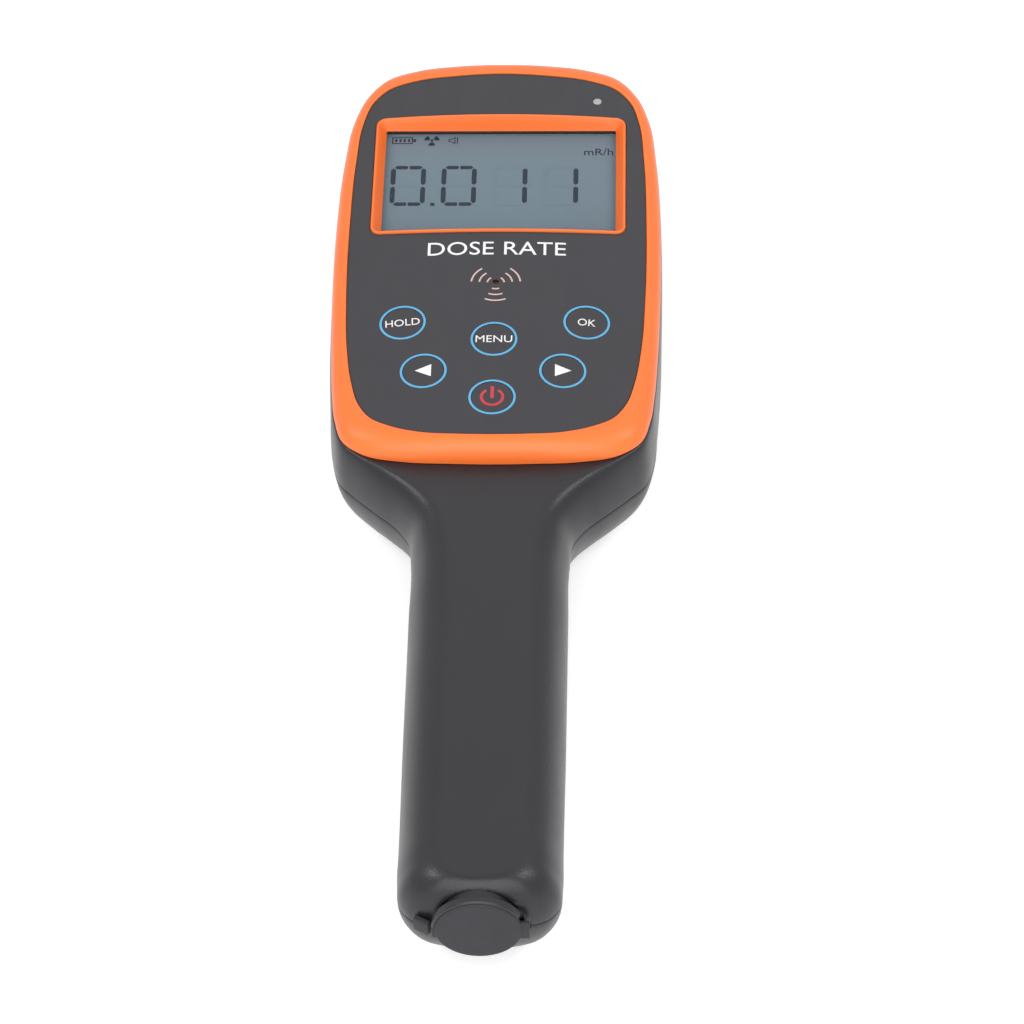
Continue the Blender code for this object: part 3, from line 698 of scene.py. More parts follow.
def display_finish(name, ground):
    """Polarizer over the liquid crystal: a slightly uneven grey-blue with a faint grid of electrodes."""
    material, tree, shader = new_finish(name)
    place = node(tree, "ShaderNodeTexCoord")
    uneven = placed_group(tree, bpy.data.node_groups["uneven_tone"], Scale=40.0)
    dark, light = (tuple(c * share for c in ground) for share in (0.95, 1.05))
    shade = blended(tree, uneven.outputs["Broad"], dark, light)
    cells = node(tree, "ShaderNodeTexChecker")
    cells.inputs["Scale"].default_value = 300.0
    cells.inputs["Color1"].default_value = (1, 1, 1, 1)
    cells.inputs["Color2"].default_value = (0.985, 0.985, 0.985, 1)
    tree.links.new(place.outputs["Object"], cells.inputs["Vector"])
    tree.links.new(blended(tree, 1.0, shade, cells.outputs["Color"], "MULTIPLY"), shader.inputs["Base Color"])
    shader.inputs["Roughness"].default_value = 0.4
    shader.inputs["Specular IOR Level"].default_value = 0.15
    return material


def cell_finish(name):
    """Shrink sleeve with two bands near its ends."""
    material, tree, shader = new_finish(name)
    place = node(tree, "ShaderNodeTexCoord")
    axis = node(tree, "ShaderNodeSeparateXYZ")
    tree.links.new(place.outputs["Object"], axis.inputs["Vector"])
    along = maths(tree, "ABSOLUTE", maths(tree, "ADD", axis.outputs["Y"], 65.5 * MM))
    band = maths(tree, "GREATER_THAN", along, 27.0 * MM)
    uneven = placed_group(tree, bpy.data.node_groups["uneven_tone"], Scale=80.0)
    blue = blended(tree, uneven.outputs["Broad"], (0.03, 0.13, 0.38), (0.05, 0.18, 0.48))
    tree.links.new(blended(tree, band, blue, (0.75, 0.75, 0.73)), shader.inputs["Base Color"])
    shader.inputs["Roughness"].default_value = 0.3
    return material


class METER_OT_finishes(Operator):
    """Makes the shared node groups and every finish"""
    bl_idname = "meter.finishes"
    bl_label = "Finishes"

    def execute(self, context):
        colours = context.scene.meter_colours
        for make in (grain_group, tone_group, dust_group):
            make()
        moulded("black_plastic", tuple(colours.black_plastic), 0.35, grain=2400.0, depth=0.03, tone=0.05,
                gloss=0.4)
        moulded("orange_plastic", tuple(colours.orange_plastic), 0.42, grain=1800.0, depth=0.012, tone=0.03)
        moulded("panel_film", tuple(colours.panel_film), 0.50, grain=3600.0, depth=0.012, tone=0.05,
                dust=0.02)
        moulded("rubber", tuple(colours.rubber), 0.62, grain=3000.0, depth=0.03, tone=0.06, dust=0.01,
                gloss=0.3)
        moulded("ring_ink", tuple(colours.ring_ink), 0.42, depth=0.006, tone=0.05)
        moulded("legend_ink", tuple(colours.legend_ink), 0.45, depth=0.006, tone=0.03)
        moulded("power_ink", tuple(colours.power_ink), 0.45, depth=0.006, tone=0.05)
        moulded("wave_ink", tuple(colours.wave_ink), 0.45, depth=0.006, tone=0.10)
        moulded("lcd_ink", tuple(colours.lcd_ink), 0.40, depth=0.004, tone=0.06, gloss=0.15)
        ghost = tuple(0.97 * c for c in colours.lcd_ground)
        moulded("lcd_ghost", ghost, 0.40, depth=0.004, tone=0.04, gloss=0.15)
        moulded("white_plastic", (0.78, 0.78, 0.76), 0.45, depth=0.01, tone=0.03)
        moulded("component_black", (0.018, 0.018, 0.02), 0.5, grain=1500.0, depth=0.03, tone=0.1)
        display_finish("display", tuple(colours.lcd_ground))
        clear_finish("clear_window", (0.45, 0.50, 0.54), 0.02, 0.08)
        clear_finish("lens", (0.42, 0.42, 0.43), 0.92, 0.2)
        brushed("steel", (0.62, 0.62, 0.64), 0.32)
        board_finish("board_green")
        cell_finish("cell_wrap")
        return {"FINISHED"}


# ---- casing -----------------------------------------------------------------------------------------------
def casing_form(name, shrink, steps, upper_rings, lower_rings):
    """The casing's outer form, or with shrink its hollow: three rails joined by quarter ellipses."""
    top, wide, foot = (inset(full_outline(spline(rail, steps)), shrink)
                       for rail in (BODY_TOP, BODY_WIDE, BODY_FOOT))
    rings = []
    if not shrink:
        rings.append([(p.x, p.y, 0.0) for p in inset(foot, 0.4)])
    for k in range(lower_rings + 1):
        turn = math.radians(90) * k / lower_rings
        height = WIDE_LEVEL - (WIDE_LEVEL - shrink) * math.cos(turn)
        rings.append([(*(f + (w - f) * math.sin(turn)), height) for f, w in zip(foot, wide)])
    for k in range(1, upper_rings + 1):
        turn = math.radians(90) * k / upper_rings
        height = WIDE_LEVEL + (RIM_LEVEL - shrink - WIDE_LEVEL) * math.sin(turn)
        rings.append([(*(t + (w - t) * math.cos(turn)), height) for t, w in zip(top, wide)])
    if not shrink:
        rings.append([(p.x, p.y, RIM_LEVEL) for p in inset(top, 0.4)])
    return loft(name, rings)


def strap_space(name, extra):
    """The strap's straight run from beside the cap back along the rounded end of the handle."""
    start, end = Vector(STRAP_START), Vector(STRAP_END)
    along = (end - start).normalized()
    middle = (start + end) / 2
    deselect()
    bpy.ops.mesh.primitive_cube_add(
        size=1, location=(middle.x * MM, middle.y * MM, sum(STRAP_LEVELS) / 2 * MM),
        rotation=(0, 0, math.atan2(along.y, along.x)),
        scale=(((end - start).length + 2 * extra) * MM, (1.4 + 2 * extra) * MM,
               (STRAP_LEVELS[1] - STRAP_LEVELS[0] + 2 * extra) * MM))
    return settle(named(name))


def port_axis(radius, front, back, name="port_cut", z=PORT_Z, vertices=96):
    return cylinder(name, (0, front, z), (0, back, z), radius, axis="Y", vertices=vertices)


def port_cutters(gap):
    """What is taken out of both shells round the port cap and its strap."""
    reach, tab_low, tab_high = PULL_TAB
    return [
        port_axis(CAP_RADIUS + 0.14, -140, -133.95),
        port_axis(NECK_BORE, -140, -120),
        box("nail_notch", (8.0, -138, PORT_Z + tab_low - gap),
            (reach + gap, -131.2, PORT_Z + tab_high + 2.4)),
        strap_space("strap_notch", gap),
        box("tab_notch", (-11.4, -138, STRAP_LEVELS[0] - gap), (-6, CAP_BACK + gap, STRAP_LEVELS[1] + gap)),
    ]


def at_level(level):
    """Test for edges that lie at a height."""
    return lambda a, b: abs(a.z - level) < 0.02 and abs(b.z - level) < 0.02


class METER_OT_casing(Operator):
    """Models the upper and lower shells of the casing"""
    bl_idname = "meter.casing"
    bl_label = "Casing Shells"

    def execute(self, context):
        self.upper_shell()
        self.lower_shell()
        return {"FINISHED"}

    def upper_shell(self):
        shell = casing_form("casing_upper", 0.0, FINE_STEPS, UPPER_RINGS, LOWER_RINGS)
        opening = inset(full_outline(spline(FRAME_EDGE, COARSE_STEPS)), 2.6)
        parting = PART_LEVEL + SEAM / 2
        combine(shell, [box("below", (-60, -150, -10), (60, 150, parting)),
                        casing_form("hollow", WALL, COARSE_STEPS, 3, 4),
                        prism("head_opening", opening, RIM_LEVEL - 4, RIM_LEVEL + 4)])
        combine(shell, [cylinders("posts", HANDLE_POSTS, parting, 31, POST_RADIUS)], "UNION")
        combine(shell, [cylinders("bores", HANDLE_POSTS, SCREW_SEAT - 1, 22, 1.75),
                        port_axis(BROW_RADIUS, -140, BROW_DEPTH, z=BROW_Z)])
        combine(shell, [self.port_neck(parting)], "UNION")
        combine(shell, port_cutters(0.2))
        round_edges(shell, at_level(parting), 0.12, 2)
        smooth(shell)
        finish_piece(shell, "black_plastic", "casing", ["upper_shell"])

    def port_neck(self, parting):
        """Upper half of the short tube that stands out of the handle's end, with its lip."""
        face, back = -CAP_FACE - 0.35, -LIP_BACK
        lip = [(7.0, face), (LIP_RADIUS - 0.25, face), (LIP_RADIUS, face - 0.25), (LIP_RADIUS, back + 0.15),
               (LIP_RADIUS - 0.15, back), (7.0, back), (7.0, face)]
        neck = port_axis(NECK_RADIUS, LIP_BACK - 0.3, -128.0)
        combine(neck, [turned("port_lip", lip, (0, 0, PORT_Z), axis="Y", steps=96)], "UNION")
        return combine(neck, [box("below", (-60, -150, -10), (60, 150, parting))])

    def lower_shell(self):
        shell = casing_form("casing_lower", 0.0, FINE_STEPS, UPPER_RINGS, LOWER_RINGS)
        combine(shell, [box("above", (-60, -150, PART_LEVEL - SEAM / 2), (60, 150, 60)),
                        casing_form("hollow", WALL, COARSE_STEPS, 3, 4)])
        combine(shell, [cylinders("handle_posts", HANDLE_POSTS, 1, PART_LEVEL - SEAM / 2, POST_RADIUS),
                        cylinders("head_posts", HEAD_POSTS, 3, HEAD_POST_LEVEL - 0.15, POST_RADIUS)], "UNION")
        posts = HEAD_POSTS + HANDLE_POSTS
        combine(shell, [cylinders("wells", posts, -2, SCREW_SEAT, 3.0),
                        cylinders("bores", posts, SCREW_SEAT - 1, 22, 1.75)] + port_cutters(0.2))
        round_edges(shell, at_level(PART_LEVEL - SEAM / 2), 0.12, 2)
        smooth(shell)
        finish_piece(shell, "black_plastic", "casing", ["lower_shell"])


# ---- front ------------------------------------------------------------------------------------------------
def key_place(name):
    """Centre of a key in millimetres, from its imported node."""
    low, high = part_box("key_" + name)
    return ((low[0] + high[0]) / 2 / MM, (low[1] + high[1]) / 2 / MM)


def key_places():
    return [key_place(name) for name in KEY_NAMES]


def indicator_place():
    low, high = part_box("indicator_lens")
    return ((low[0] + high[0]) / 2 / MM, (low[1] + high[1]) / 2 / MM)


def bezel_outline(shrink=0.0):
    """Outline of the display surround, whose lower side bows a little towards the handle."""
    half = (BEZEL_HALF[0] - shrink, BEZEL_HALF[1] - shrink)
    outline = rounded_rectangle(BEZEL_CENTRE, half, BEZEL_CORNER - shrink, steps=BEZEL_STEPS)
    for p in outline:
        bow = 0.6 * (1 - (p.x / BEZEL_HALF[0]) ** 2) if p.y < BEZEL_CENTRE[1] else 0.0
        p.y -= 0.3 + bow
    return outline


class METER_OT_front_frame(Operator):
    """Models the orange frame with the plate and posts behind the panel"""
    bl_idname = "meter.front_frame"
    bl_label = "Front Frame"

    def execute(self, context):
        panel = full_outline(spline(PANEL_EDGE, FINE_STEPS))
        edge = full_outline(spline(FRAME_EDGE, FINE_STEPS))
        low, skirt = RIM_LEVEL + 0.08, RIM_LEVEL + 0.5
        rings = [[(p.x, p.y, low) for p in panel], [(p.x, p.y, crown(p.x) + FRAME_LIP - 0.2) for p in panel]]
        for k in range(1, 15):
            turn = math.radians(90) * k / 14
            drop = 0.0 if k > 1 else 0.03
            rings.append([(*(p + (e - p) * math.sin(turn)),
                           skirt + (crown(p.x) + FRAME_LIP - skirt) * math.cos(turn) - drop)
                          for p, e in zip(panel, edge)])
        rings.append([(p.x, p.y, low + 0.12) for p in edge])
        rings.append([(p.x, p.y, low) for p in inset(edge, 0.12)])
        shell = loft("orange_frame", rings, closed=True)
        plate = crown_slab("plate", OVERLAY_THICK + 0.1, OVERLAY_THICK + 0.1 + PLATE_THICK)
        outline = inset(full_outline(spline(PANEL_EDGE, COARSE_STEPS)), -1.2)
        combine(plate, [prism("plate_outline", outline, 20, 45)], "INTERSECT")
        posts = cylinders("posts", HEAD_POSTS, HEAD_POST_LEVEL + 0.15, 35.0, POST_RADIUS)
        combine(shell, [plate, posts], "UNION")
        combine(shell, [
            cylinders("bores", HEAD_POSTS, 5, 22, 1.75),
            cylinders("key_holes", key_places(), 30, 45, KEY_RADIUS + 0.5),
            cylinders("pin_holes", [indicator_place(), SOUND_HOLE], 30, 45, INDICATOR_RADIUS + 0.2),
            prism("display_hole", bezel_outline(-0.1), 30, 45)])
        smooth(shell)
        finish_piece(shell, "orange_plastic", "casing", ["front_frame"])
        return {"FINISHED"}


class METER_OT_overlay(Operator):
    """Models the printed film of the panel"""
    bl_idname = "meter.overlay"
    bl_label = "Panel Film"

    def execute(self, context):
        film = crown_slab("panel_film", 0.0, OVERLAY_THICK)
        outline = inset(full_outline(spline(PANEL_EDGE, FINE_STEPS)), 0.22)
        combine(film, [prism("film_outline", outline, 20, 45)], "INTERSECT")
        combine(film, [
            cylinders("key_holes", key_places(), 30, 45, KEY_RADIUS + 0.07, vertices=96),
            cylinders("indicator_hole", [indicator_place()], 30, 45, INDICATOR_RADIUS + 0.1, vertices=48),
            cylinders("sound_hole", [SOUND_HOLE], 30, 45, SOUND_RADIUS, vertices=48),
            prism("display_hole", bezel_outline(-0.2), 30, 45)])
        smooth(film)
        finish_piece(film, "panel_film", "casing", ["overlay"])
        return {"FINISHED"}


class METER_OT_prints(Operator):
    """Prints the rings, the sound waves and the title on the panel film, and lays thin dark lines of painted
    shade along the film's edge and round the display surround
    """
    bl_idname = "meter.prints"
    bl_label = "Panel Prints"

    def execute(self, context):
        sizes = context.scene.meter_sizes
        radius, width = sizes.ring_radius / MM, sizes.ring_width / MM
        for name in KEY_NAMES:
            place = key_place(name)
            rims = [arc(place, radius + side * width / 2, 0, 356.25, 95) for side in (-1, 1)]
            ring = flat_shapes("ring_" + name, rims, PANEL_TOP)
            finish_piece(ring, "ring_ink", "casing")
        waves = [arc_band((SOUND_HOLE[0], SOUND_HOLE[1] - 0.4), reach, 0.42, toward - 25, toward + 25)
                 for toward in (30, 150, 270) for reach in (2.1, 4.1, 6.1)]
        finish_piece(flat_shapes("sound_waves", waves, PANEL_TOP), "wave_ink", "casing")
        panel = full_outline(spline(PANEL_EDGE, FINE_STEPS))
        # thin dark lines of painted shade along the film's edge at the frame and round the display surround,
        # where the gaps fall in shade
        for name, outer, inner in (("film_edge_shade", inset(panel, 0.22), inset(panel, 0.5)),
                                   ("window_edge_shade", bezel_outline(-0.45), bezel_outline(-0.2))):
            finish_piece(flat_shapes(name, [outer, inner], PANEL_TOP), "component_black", "casing")
        title = lettering("title", "DOSE RATE", (0.0, 62.0), 34.6, sizes.title_height / MM, PANEL_TOP)
        finish_piece(title, "legend_ink", "casing")
        return {"FINISHED"}


class METER_OT_keys(Operator):
    """Models the six keys with their legends"""
    bl_idname = "meter.keys"
    bl_label = "Keys"

    def execute(self, context):
        height = context.scene.meter_sizes.legend_height / MM
        for name in KEY_NAMES:
            x, y = key_place(name)
            stem_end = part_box("key_" + name)[0][2] / MM
            top = crown(x)
            profile = [(0, top), (2.5, top), (4.4, top), (KEY_RADIUS - 0.12, top), (KEY_RADIUS, top - 0.1),
                       (KEY_RADIUS, top - 1.55), (KEY_RADIUS - 0.15, top - 1.6), (1.8, top - 1.6),
                       (1.8, stem_end + 0.2), (1.6, stem_end), (0, stem_end)]
            key = turned("keytop_" + name, profile, (x, y, 0), steps=96)
            for vert in key.data.vertices:
                if vert.co.z > (top - 0.2) * MM:
                    vert.co.z += (crown(vert.co.x / MM) - top) * MM
            smooth(key, 40)
            body = name + "_key"
            finish_piece(key, "panel_film", body, ["key_" + name])
            legend = self.legend(name, (x, y), height)
            finish_piece(legend, "power_ink" if name == "power" else "legend_ink", body)
        return {"FINISHED"}

    def legend(self, name, place, height):
        x, y = place
        words = {"hold": (8.5, 4.0), "menu": (9.0, 0.0), "ok": (4.4, -4.0)}
        if name in words:
            width, tilt = words[name]
            return lettering("legend_" + name, name.upper(), place, width, height, PANEL_TOP,
                             math.radians(tilt))
        if name == "power":
            ring = arc_band(place, 2.6, 0.7, 90 + 33, 90 + 327, 40)
            bar = [(x - 0.42, y - 0.4), (x + 0.42, y - 0.4), (x + 0.42, y + 3.5), (x - 0.42, y + 3.5)]
            return flat_shapes("legend_power", [ring, bar], PANEL_TOP)
        side = -1 if name == "left" else 1
        arrow = [(x + side * 2.1, y + 0.15), (x - side * 1.9, y + 2.15), (x - side * 1.9, y - 1.85)]
        return flat_shapes("legend_" + name, [arrow], PANEL_TOP)


class METER_OT_indicator(Operator):
    """Models the small light pipe at the panel's upper right"""
    bl_idname = "meter.indicator"
    bl_label = "Indicator"

    def execute(self, context):
        x, y = indicator_place()
        top = crown(x)
        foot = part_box("indicator_lens")[0][2] / MM
        dome = [(INDICATOR_RADIUS * math.sin(math.radians(a)), top + 0.2 * math.cos(math.radians(a)))
                for a in range(0, 91, 15)]
        stem = [(INDICATOR_RADIUS, foot + 0.1), (INDICATOR_RADIUS - 0.1, foot), (0, foot)]
        lens = turned("indicator_dome", dome + stem, (x, y, 0), steps=48)
        smooth(lens, 40)
        finish_piece(lens, "lens", "casing", ["indicator_lens"])
        return {"FINISHED"}


# ---- display ----------------------------------------------------------------------------------------------
def stroke(start, end, width, cuts=(0.5, 0.5)):
    """A digit's stroke: a bar whose two ends are mitred by cuts, as shares of its width."""
    start, end = Vector(start), Vector(end)
    along = (end - start).normalized()
    across = Vector((-along.y, along.x)) * width / 2
    first, last = along * width * cuts[0], along * width * cuts[1]
    return [start - across + first, start, start + across + first,
            end + across - last, end, end - across - last]


def digit_strokes(centre, half_width, half_height, width, lit):
    """Strokes of one digit: a top, b and c right, d bottom, e and f left, g middle; level ones are halved."""
    cx, cy = centre
    left, right = cx - half_width + width / 2, cx + half_width - width / 2
    bottom, top = cy - half_height + width / 2, cy + half_height - width / 2
    space = 0.28
    upright = {"f": (left, cy, top), "b": (right, cy, top), "e": (left, bottom, cy), "c": (right, bottom, cy)}
    level = {"a": top, "g": cy, "d": bottom}
    made = [stroke((x, low + space), (x, high - space), width)
            for key, (x, low, high) in upright.items() if key in lit]
    for key, y in level.items():
        if key in lit:
            made.append(stroke((left + space, y), (cx - space / 2, y), width, (0.5, 0.15)))
            made.append(stroke((cx + space / 2, y), (right - space, y), width, (0.15, 0.5)))
    return made


SEGMENTS = {"0": "abcdef", "1": "bc", "2": "abged", "3": "abgcd", "4": "fgbc", "5": "afgcd", "6": "afgedc",
            "7": "abc", "8": "abcdefg", "9": "abcdfg"}
FIRST_DIGIT, DIGIT_PITCH, DIGIT_HALF_WIDTH = (-23.6, 90.15), 13.05, 4.5


def icon_shapes():
    """Battery, radiation and speaker signs along the display's upper left."""
    battery = [[(-28.3, 105.7), (-22.9, 105.7), (-22.9, 108.2), (-28.3, 108.2)],
               [(-28.0, 106.0), (-28.0, 107.9), (-23.2, 107.9), (-23.2, 106.0)],
               [(-22.8, 106.4), (-22.1, 106.4), (-22.1, 107.5), (-22.8, 107.5)]]
    bars = [[(x, 106.4), (x + 0.55, 106.4), (x + 0.55, 107.5), (x, 107.5)]
            for x in (-27.5, -26.4, -25.3, -24.2)]
    blades = [arc_band((-18.0, 107.0), 1.35, 1.3, toward - 28, toward + 28, 8) for toward in (30, 150, 270)]
    hub = [arc((-18.0, 107.0), 0.42, 0, 330, 11)]
    speaker = [[(-13.7, 106.4), (-13.0, 106.4), (-11.9, 105.6), (-11.9, 108.3), (-13.0, 107.5),
                (-13.7, 107.5)],
               [(-13.45, 106.65), (-13.45, 107.25), (-12.9, 107.25), (-12.15, 107.8), (-12.15, 106.1),
                (-12.9, 106.65)],
               [(-11.5, 105.7), (-11.25, 105.7), (-11.25, 108.2), (-11.5, 108.2)]]
    return battery + bars + blades + hub + speaker


class METER_OT_display(Operator):
    """Models the display surround, window, crystal cell and its segments"""
    bl_idname = "meter.display"
    bl_label = "Display"

    def execute(self, context):
        self.bezel()
        self.window()
        self.crystal_cell()
        # dark bands of painted shade just outside the window
        self.mask()
        self.segments(context.scene.meter_sizes)
        return {"FINISHED"}

    def bezel(self):
        low = WINDOW_TOP + 0.1
        well_foot = rounded_rectangle(WINDOW_CENTRE, WINDOW_HALF, 0.35, steps=BEZEL_STEPS)
        rim = bezel_outline(0.62)
        walls = [[(p.x, p.y, low) for p in bezel_outline()],
                 [(p.x, p.y, crown(p.x) + BEZEL_LIP - 0.3) for p in bezel_outline()],
                 [(p.x, p.y, crown(p.x) + BEZEL_LIP - 0.09) for p in bezel_outline(0.09)],
                 [(p.x, p.y, crown(p.x) + BEZEL_LIP) for p in bezel_outline(0.3)],
                 [(p.x, p.y, crown(p.x) + BEZEL_LIP) for p in bezel_outline(0.55)]]
        for part in (0.06, 0.5, 0.97):
            walls.append([(*(r + (w - r) * part),
                           crown(r.x) + BEZEL_LIP + (low - crown(r.x) - BEZEL_LIP) * part)
                          for r, w in zip(rim, well_foot)])
        walls.append([(p.x, p.y, low) for p in well_foot])
        bezel = loft("display_surround", walls, closed=True)
        smooth(bezel, 28)
        finish_piece(bezel, "orange_plastic", "casing", ["lcd_bezel"])

    def window(self):
        outline = rounded_rectangle(WINDOW_CENTRE, (30.6, 19.9), 0.8)
        rings = [[(p.x, p.y, z) for p in inset(outline, shrink)]
                 for z, shrink in ((WINDOW_TOP - 1.2, 0.1), (WINDOW_TOP - 1.1, 0.0), (WINDOW_TOP - 0.1, 0.0),
                                   (WINDOW_TOP, 0.1))]
        window = smooth(loft("display_window", rings))
        finish_piece(window, "clear_window", "casing", ["lcd_window"])

    def crystal_cell(self):
        half = (30.4, 19.7)
        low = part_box("lcd_panel")[0][2] / MM
        rings = [[(p.x, p.y, z) for p in rounded_rectangle(WINDOW_CENTRE, (half[0] - s, half[1] - s), 0.5)]
                 for z, s in ((low, 0.05), (low + 0.1, 0.0), (LCD_TOP - 0.3, 0.0), (LCD_TOP - 0.28, 0.35),
                              (LCD_TOP, 0.4))]
        cell = smooth(loft("crystal_cell", rings))
        finish_piece(cell, "display", "casing", ["lcd_panel"])

    def mask(self):
        """Painted shade: a dark border on the cell and a dark band round the window, both just outside it,
        standing in for the shadow under the display surround's walls.
        """
        for name, outer, inner, corner, thick in (("display_shade_band", (30.9, 20.2), (30.3, 19.75), 0.3, 0.05),
                                                  ("window_shade_band", (31.0, 20.4), (30.65, 19.95), 0.8, 1.35)):
            outlines = [rounded_rectangle(WINDOW_CENTRE, half, corner) for half in (outer, inner)]
            mask = flat_shapes(name, outlines, LCD_TOP + 0.02, thick, crowned=False)
            finish_piece(mask, "component_black", "casing")

    def segments(self, sizes):
        half_height, width = sizes.digit_height / 2 / MM, sizes.segment_width / MM
        level = LCD_TOP + 0.01
        lit, ghost = [], []
        place = 0
        for sign in sizes.reading:
            x = FIRST_DIGIT[0] + DIGIT_PITCH * place
            if sign == ".":
                left, low = x - DIGIT_PITCH / 2 - 0.55, FIRST_DIGIT[1] - half_height
                lit.append([(left, low), (left + 1.1, low), (left + 1.1, low + 1.1), (left, low + 1.1)])
                continue
            centre = (x, FIRST_DIGIT[1])
            lit += digit_strokes(centre, DIGIT_HALF_WIDTH, half_height, width, SEGMENTS[sign])
            rest = [key for key in SEGMENTS["8"] if key not in SEGMENTS[sign]]
            ghost += digit_strokes(centre, DIGIT_HALF_WIDTH, half_height, width, rest)
            place += 1
        lit += icon_shapes()
        for name, shapes, finish in (("lit_segments", lit, "lcd_ink"), ("idle_segments", ghost, "lcd_ghost")):
            piece = flat_shapes(name, shapes, level, crowned=False)
            finish_piece(piece, finish, "casing")
        unit = lettering("unit_sign", "mR/h", (25.2, 102.6), 7.5, 2.5, level, crowned=False, weight=0.006)
        finish_piece(unit, "lcd_ink", "casing")


# ---- port cap, strap and screws ---------------------------------------------------------------------------
class METER_OT_port(Operator):
    """Models the rubber cap of the charging port, its strap and the cup behind it"""
    bl_idname = "meter.port"
    bl_label = "Port Cap"

    def execute(self, context):
        self.cap()
        self.strap()
        self.cup()
        return {"FINISHED"}

    def cap(self):
        face, back = -CAP_FACE, -CAP_BACK
        edge = CAP_RADIUS
        profile = [(0, face), (edge - 1.0, face), (edge - 0.75, face - 0.02), (edge - 0.2, face - 0.12),
                   (edge, face - 0.35), (edge, face - 0.8), (edge - 0.1, face - 0.95), (8.3, face - 0.95),
                   (8.3, back + 0.1), (8.2, back), (7.2, back), (7.2, back - 1.3), (7.0, back - 1.5),
                   (6.5, back - 1.5), (6.4, back - 1.4), (6.4, back + 0.2), (0, back + 0.2)]
        cap = turned("rubber_cap", profile, (0, 0, PORT_Z), axis="Y", steps=128)
        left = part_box("port_cap")[0][0] / MM
        reach, tab_low, tab_high = PULL_TAB
        tabs = [box("hinge_tab", (left, CAP_BACK - 1.2, STRAP_LEVELS[0]),
                    (-7.0, CAP_BACK - 0.3, STRAP_LEVELS[1]), 0.2),
                box("pull_tab", (7.0, CAP_BACK - 1.5, PORT_Z + tab_low),
                    (reach, CAP_BACK - 0.5, PORT_Z + tab_high), 0.3)]
        combine(cap, tabs, "UNION")
        smooth(cap, 30)
        finish_piece(cap, "rubber", "cap", ["port_cap"])

    def strap(self):
        strap = strap_space("rubber_strap", 0.0)
        round_edges(strap, lambda a, b: True, 0.25, 3)
        smooth(strap, 30)
        finish_piece(strap, "rubber", "casing", ["cap_strap"])

    def cup(self):
        front, back = -CAP_BACK - 1.7, 124.0
        profile = [(8.2, front), (8.35, front - 0.15), (8.35, back), (0, back), (0, 126.5), (7.5, 126.5),
                   (7.65, 126.7), (7.65, front - 0.1), (7.8, front), (8.2, front)]
        cup = turned("port_cup", profile, (0, 0, PORT_Z), axis="Y", steps=96)
        combine(cup, [box("socket_slot", (-4.7, -132, PORT_Z - 1.9), (4.7, -120, PORT_Z + 1.9))])
        smooth(cup, 30)
        finish_piece(cup, "component_black", "casing", ["port_housing"])


class METER_OT_screws(Operator):
    """Models the six cross-head screws in their wells"""
    bl_idname = "meter.screws"
    bl_label = "Screws"

    def execute(self, context):
        for number in range(1, 7):
            low, high = (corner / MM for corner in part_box(f"case_screw_{number}"))
            x, y = (low.x + high.x) / 2, (low.y + high.y) / 2
            seat, foot = SCREW_SEAT - 0.3, high.z
            head = [(0, low.z), (1.6, low.z), (2.2, low.z + 0.15), (2.5, low.z + 0.45), (2.6, low.z + 0.9),
                    (2.6, seat), (1.1, seat)]
            thread = [(1.1 + 0.25 * (k % 2), seat + 0.4 + (foot - 1.6 - seat) * k / 30) for k in range(31)]
            tip = [(0.4, foot - 0.1), (0, foot)]
            screw = turned(f"screw_{number}", head + thread + tip, (x, y, 0), steps=32)
            combine(screw, [box("cross_a", (x - 1.5, y - 0.28, low.z - 1), (x + 1.5, y + 0.28, low.z + 1.0)),
                            box("cross_b", (x - 0.28, y - 1.5, low.z - 1), (x + 0.28, y + 1.5, low.z + 1.0))])
            smooth(screw, 30)
            finish_piece(screw, "steel", "casing", [f"case_screw_{number}"])
        return {"FINISHED"}


class METER_OT_inner_parts(Operator):
    """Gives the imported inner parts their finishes"""
    bl_idname = "meter.inner_parts"
    bl_label = "Inner Parts"

    def execute(self, context):
        other_name = {"panel_grey": "panel_film", "lcd_glass": "display", "rubber_black": "rubber"}
        for subpart in frame["record"]["subparts"]:
            part = frame["nodes"][subpart["node"]]
            for socket in part.material_slots:
                slot = subpart["material_slot"]
                socket.material = FINISHES[other_name.get(slot, slot)]
        return {"FINISHED"}


# ---- stage ------------------------------------------------------------------------------------------------
def seen_rays(tree):
    """1 for rays that show the background: to the camera, in reflections and through clear parts."""
    rays = node(tree, "ShaderNodeLightPath")
    direct = maths(tree, "MAXIMUM", rays.outputs["Is Camera Ray"], rays.outputs["Is Glossy Ray"])
    return maths(tree, "MAXIMUM", direct, rays.outputs["Is Transmission Ray"])


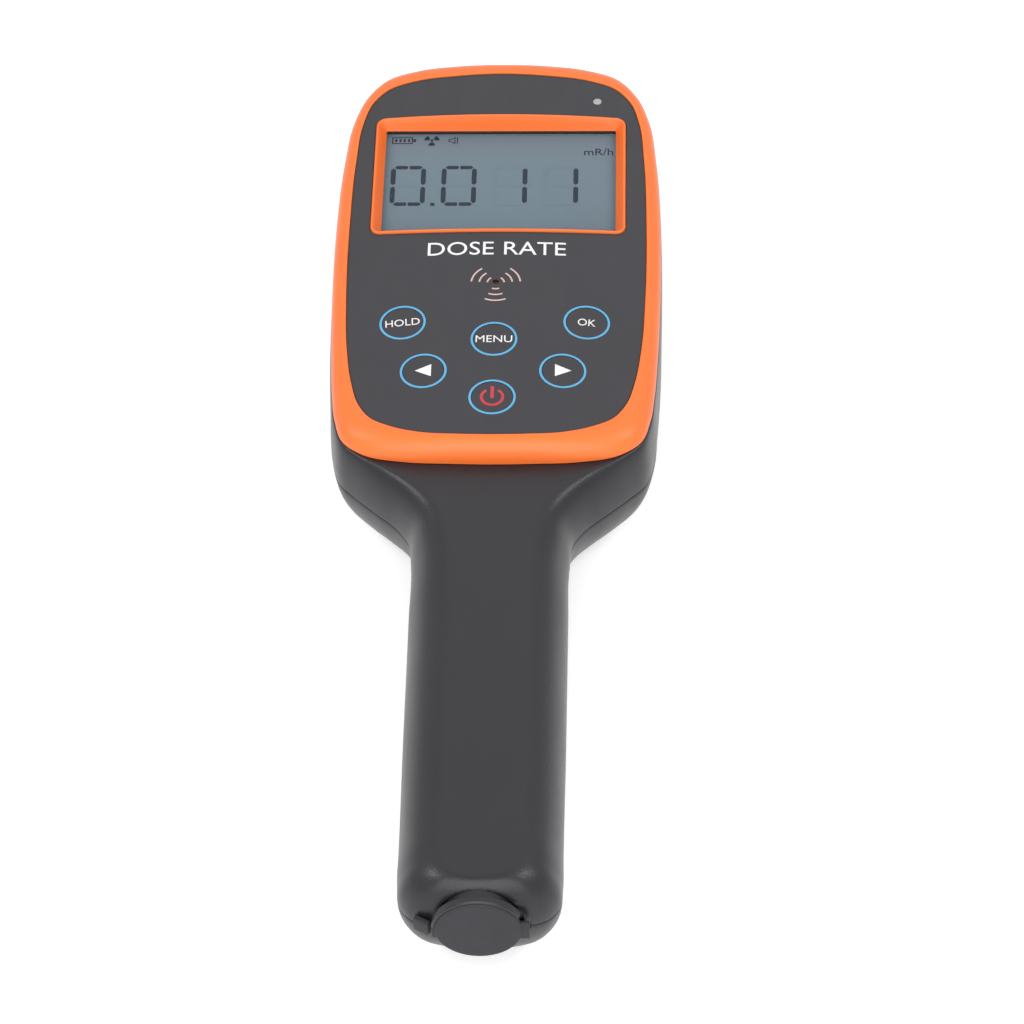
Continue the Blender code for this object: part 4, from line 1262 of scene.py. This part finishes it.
class METER_OT_stage(Operator):
    """Sets up the floor, the light and the camera"""
    bl_idname = "meter.stage"
    bl_label = "Stage"

    def execute(self, context):
        scene = context.scene
        scene.view_settings.view_transform = "Standard"
        self.floor()
        self.world(scene)
        self.lamps()
        self.camera(scene)
        return {"FINISHED"}

    def floor(self):
        deselect()
        bpy.ops.mesh.primitive_plane_add(size=6.0, location=(0, 0, -0.0002))
        floor = settle(named("floor"))
        material = bpy.data.materials.new("pale_floor")
        material.use_nodes = True
        tree = material.node_tree
        shader = tree.nodes["Principled BSDF"]
        shader.inputs["Base Color"].default_value = (0.86, 0.86, 0.86, 1)
        shader.inputs["Roughness"].default_value = 0.9
        shader.inputs["Specular IOR Level"].default_value = 0.0
        shader.inputs["Emission Color"].default_value = (1, 1, 1, 1)
        glow = maths(tree, "MULTIPLY", seen_rays(tree), FLOOR_GLOW)
        tree.links.new(glow, shader.inputs["Emission Strength"])
        floor.data.materials.append(material)

    def world(self, scene):
        world = bpy.data.worlds.new("studio")
        world.use_nodes = True
        tree = world.node_tree
        background = tree.nodes["Background"]
        background.inputs["Color"].default_value = (1, 1, 1, 1)
        tree.links.new(maths(tree, "MAXIMUM", seen_rays(tree), WORLD_LIGHT), background.inputs["Strength"])
        scene.world = world

    def lamps(self):
        for name, place, size, watts in LAMPS:
            light = bpy.data.lights.new(name, "AREA")
            light.size = size
            light.energy = watts
            lamp = bpy.data.objects.new(name, light)
            lamp.location = place
            lamp.rotation_euler = (-Vector(place)).to_track_quat("-Z", "Y").to_euler()
            bpy.context.scene.collection.objects.link(lamp)

    def camera(self, scene):
        stage = scene.meter_stage
        back = Vector((math.sin(stage.azimuth) * math.cos(stage.elevation),
                       -math.cos(stage.azimuth) * math.cos(stage.elevation), math.sin(stage.elevation)))
        right = Vector((math.cos(stage.azimuth), math.sin(stage.azimuth), 0))
        up = back.cross(right)
        side = right * math.cos(stage.roll) + up * math.sin(stage.roll)
        rise = up * math.cos(stage.roll) - right * math.sin(stage.roll)
        view = bpy.data.cameras.new("camera")
        view.lens = stage.lens
        view.sensor_width = 36.0
        view.clip_start = 0.01
        camera = bpy.data.objects.new("camera", view)
        scene.collection.objects.link(camera)
        turn = Matrix((side, rise, back)).transposed().to_4x4()
        camera.matrix_world = Matrix.Translation(Vector(stage.target) + back * stage.distance) @ turn
        scene.camera = camera


class METER_PT_panel(Panel):
    """Lists the steps of the build and their settings"""
    bl_idname = "METER_PT_panel"
    bl_label = "Survey Meter"
    bl_space_type = "VIEW_3D"
    bl_region_type = "UI"
    bl_category = "Survey Meter"

    def draw(self, context):
        for step in STEPS:
            self.layout.operator("meter." + step)
        for group in ("meter_sizes", "meter_colours", "meter_stage"):
            settings = getattr(context.scene, group)
            column = self.layout.column()
            for key in settings.bl_rna.properties.keys():
                if key not in ("rna_type", "name"):
                    column.prop(settings, key)


STEPS = ("finishes", "casing", "front_frame", "overlay", "prints", "keys", "indicator", "display", "port",
         "screws", "inner_parts", "stage")
SETTINGS = {"meter_sizes": MeterSizes, "meter_colours": MeterColours, "meter_stage": MeterStage}
CLASSES = (MeterSizes, MeterColours, MeterStage, METER_OT_finishes, METER_OT_casing, METER_OT_front_frame,
           METER_OT_overlay, METER_OT_prints, METER_OT_keys, METER_OT_indicator, METER_OT_display,
           METER_OT_port,
           METER_OT_screws, METER_OT_inner_parts, METER_OT_stage, METER_PT_panel)


def register():
    for each in CLASSES:
        bpy.utils.register_class(each)
    for name, group in SETTINGS.items():
        setattr(bpy.types.Scene, name, PointerProperty(type=group))


def unregister():
    for name in SETTINGS:
        delattr(bpy.types.Scene, name)
    for each in reversed(CLASSES):
        bpy.utils.unregister_class(each)


def main():
    register()
    for step in STEPS:
        getattr(bpy.ops.meter, step)()


if __name__ == "__main__":
    main()
